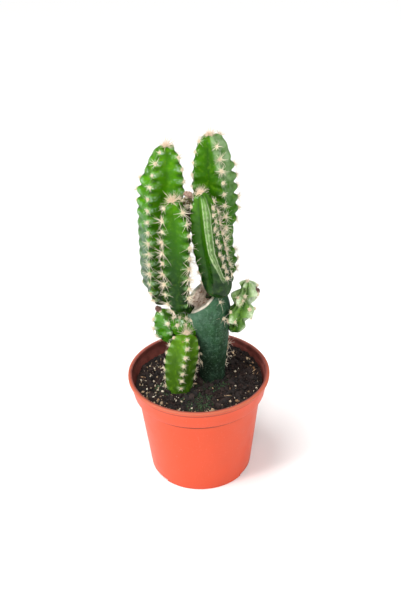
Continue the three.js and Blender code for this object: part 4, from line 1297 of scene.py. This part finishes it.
soil = {
    "level": 84.5,
    "bank": 5.5,
    "bankTowards": (0.62, 0.78),
    "bankFrom": 20,
    "bankTo": 56,
    "gap": 0.3,              # between the peat and the pot
    "rings": 84,
    "segments": 280,
    "lumps": 1.1,            # height and size of the peat's small lumps, and of its larger clods
    "lumpSize": 5,
    "clods": 1.6,
    "clodSize": 7,
    "sheetCells": 46,        # of the sheets that litter is strewn over
    "dark": "#080504",
    "brown": "#271712",
    "reddish": "#321a13",
    "bits": "#8d7556",
}

# Where stems stand in the soil, as x, y and radius
stemFeet = [(11.4, 8.8, 10.5), (-16.8, -8, 9.6)]


def soilTop(x, y):
    here = Vector((x, y, 0))
    bank = smoothStep(soil["bankTowards"][0] * x + soil["bankTowards"][1] * y, soil["bankFrom"], soil["bankTo"])
    swells = math.sin(x * 0.42 + 1.3) * math.cos(y * 0.37) + 0.6 * math.sin(x * 0.9 - y * 0.8)
    lump = noise.fractal(here / soil["lumpSize"], 0.8, 2.1, 5) * soil["lumps"]
    clod = max(0, noise.noise(here / soil["clodSize"] + Vector((9, 2, 4)))) * soil["clods"]
    return soil["level"] + soil["bank"] * bank + 0.5 * swells + lump + clod - 0.4


def peatMaterial():
    paint = Paint("peat")
    clods = paint.grain(190, 5, 0.65)
    paint.colour = blend(spread(clods, 0.38, 0.66), soil["dark"], soil["brown"])
    paint.layer(spread(paint.grain(60, 3), 0.5, 0.72, 0, 0.5), soil["reddish"])
    paint.layer(spread(paint.grain(1300, 2), 0.66, 0.74, 0, 0.6), soil["bits"])
    return paint.finish(0.82, gloss=0.35, relief=clods + paint.grain(900, 4, 0.7), strength=1.0, depth=0.9)


def makeSoilBody():
    gap, rings = soil["gap"], soil["rings"]
    reach, floor = collarInside - gap, floorTop + gap
    profile = [(pot["bodyFoot"] - pot["wall"] - gap, floor), (pot["bodyTop"] - pot["wall"] - gap, shoulder),
               (reach, shoulder + pot["wall"] + gap)]
    profile += [(reach * ring / rings, soilTop) for ring in range(rings, 0, -1)]
    piece = spunSkin("peat_bed", profile, soil["segments"], (floor, soilTop(0, 0)))
    piece.data.materials.append(peatMaterial())
    finishPiece(piece, "soil", slot="soil")


def soilSheet(name, weightAt):
    # The soil's open top as a seed for scattering, with a weight on each point
    count, reach = soil["sheetCells"], collarInside - 1.4
    points, weights, index = [], [], {}
    for i in range(count + 1):
        for j in range(count + 1):
            x, y = (2 * i / count - 1) * reach, (2 * j / count - 1) * reach
            if math.hypot(x, y) <= reach:
                inStem = any(math.hypot(x - footX, y - footY) < foot for footX, footY, foot in stemFeet)
                index[i, j] = len(points)
                points.append((x, y, soilTop(x, y)))
                weights.append(0.0 if inStem else weightAt(x, y))
    cells = [[(i, j), (i + 1, j), (i + 1, j + 1), (i, j + 1)] for i in range(count) for j in range(count)]
    faces = [[index[corner] for corner in cell] for cell in cells if all(corner in index for corner in cell)]
    return meshOf(name, points, faces, {"weight": weights})


def scatterTree(name, sides):
    # Lumps strewn over a sheet by its weights: each is a dented ball, squashed and turned at random
    tree, sizes = geometryTree(name, {
        "Density": 300000.0, "Smallest": 0.5 * mm, "Largest": 1.5 * mm, "Flatness": 0.6, "Length": 1.0,
        "Dent": 0.5, "Tilt": 3.0, "Sink": 0.3, "Seed": 1, "Material": None})
    seed, density = sizes["Seed"], named(tree, "weight") * sizes["Density"]
    strewn = addBeside("GeometryNodeDistributePointsOnFaces",
                       {"Mesh": sizes["Geometry"], "Density": density, "Seed": seed})
    ball = add(tree, "GeometryNodeMeshIcoSphere", {"Radius": 1.0, "Subdivisions": sides})
    lump = roughBall(tree, ball, 1.1, 2.0, 0.5, sizes["Dent"], 4.0)
    tiltX, tiltY = (randomIn(-1.0, 1.0, seed, offset) * sizes["Tilt"] for offset in (1, 2))
    share = calc("POWER", randomIn(0.0, 1.0, seed, 4), 2.0)
    size = spread(share, 0.0, 1.0, sizes["Smallest"], sizes["Largest"])
    flat, long = size * sizes["Flatness"], size * sizes["Length"]
    turned = combined(tiltX, tiltY, randomIn(0.0, fullTurn, seed, 3))
    grains = placed(strewn, lump, turned, combined(long, size, flat))
    lifted = addBeside("GeometryNodeTranslateInstances", {
        "Instances": grains, "Local Space": False, "Translation": combined(0, 0, flat * sizes["Sink"])})
    return endTree(tree, sizes, shaded(lifted, seed, 5))


def crumbMaterial(name, kind):
    paint = Paint(name)
    veins = paint.grain(1100, 4, 0.7)
    paint.colour = blend(paint.kept("shade"), kind["dark"], kind["light"])
    paint.layer(spread(veins, 0.4, 0.65, 0, 0.5), kind["dark"])
    return paint.finish(kind["roughness"], relief=veins, strength=0.8, depth=0.35)


def near(x, y, spotX, spotY, reach):
    return math.hypot(x - spotX, y - spotY) < reach


def barkAt(x, y):
    # Few chips between the stems but for some by pup_front, and most in front on the left
    if near(x, y, 0, 0, 44):
        return float(near(x, y, -17, -8, 14)) + 0.12
    return 2.4 if x < 6 and y < -30 else 1.0


def mossAt(x, y):
    # Three patches in front of the stems and between them
    return float(near(x, y, -28, -10, 9) or near(x, y, -2, -30, 14) or near(x, y, 10, 2, 17))


# Each litter: how thick on the ground, its sizes in millimetres, its colours and where it lies
litters = {
    "peat_clods": {"sides": 2, "density": 75000.0, "smallest": 0.9, "largest": 2.8, "flatness": 0.6, "length": 1.1,
                   "dark": "#060403", "light": "#2f1e18", "roughness": 0.85, "where": lambda x, y: 1.0},
    "peat_crumbs": {"sides": 1, "density": 520000.0, "smallest": 0.3, "largest": 1.1, "flatness": 0.7, "length": 1.2,
                    "dark": "#080504", "light": "#40281f", "roughness": 0.85, "where": lambda x, y: 1.0},
    "perlite": {"sides": 2, "density": 90000.0, "smallest": 0.3, "largest": 1.2, "flatness": 0.7, "length": 1.2,
                "dark": "#a08664", "light": "#f6ecd6", "roughness": 0.7,
                "where": lambda x, y: 1.0 if x < -8 or math.hypot(x, y) > 46 else 0.2},
    "bark_chips": {"sides": 2, "density": 26000.0, "smallest": 0.6, "largest": 2.2, "flatness": 0.4, "length": 1.7,
                   "dark": "#8a6240", "light": "#e2c6a0", "roughness": 0.8, "where": barkAt},
    "moss": {"sides": 1, "density": 900000.0, "smallest": 0.3, "largest": 1.1, "flatness": 0.8, "length": 1.3,
             "dark": "#0c160c", "light": "#3a5a2e", "roughness": 0.8, "where": mossAt},
}


def makeLitter():
    trees = {1: scatterTree("strewnGrains", 1), 2: scatterTree("strewnClods", 2)}
    for order, (name, kind) in enumerate(litters.items()):
        piece = grow(name, soilSheet(name + "Sheet", kind["where"]), trees[kind["sides"]], {
            "Density": kind["density"], "Smallest": kind["smallest"] * mm, "Largest": kind["largest"] * mm,
            "Flatness": kind["flatness"], "Length": kind["length"], "Seed": 70 + order,
            "Material": crumbMaterial(name, kind)})
        finishPiece(piece, slot="soil")
        print(name, "strewn:", len(piece.data.polygons), "faces")


makeSoilBody()
makeLitter()
print("soil ready")
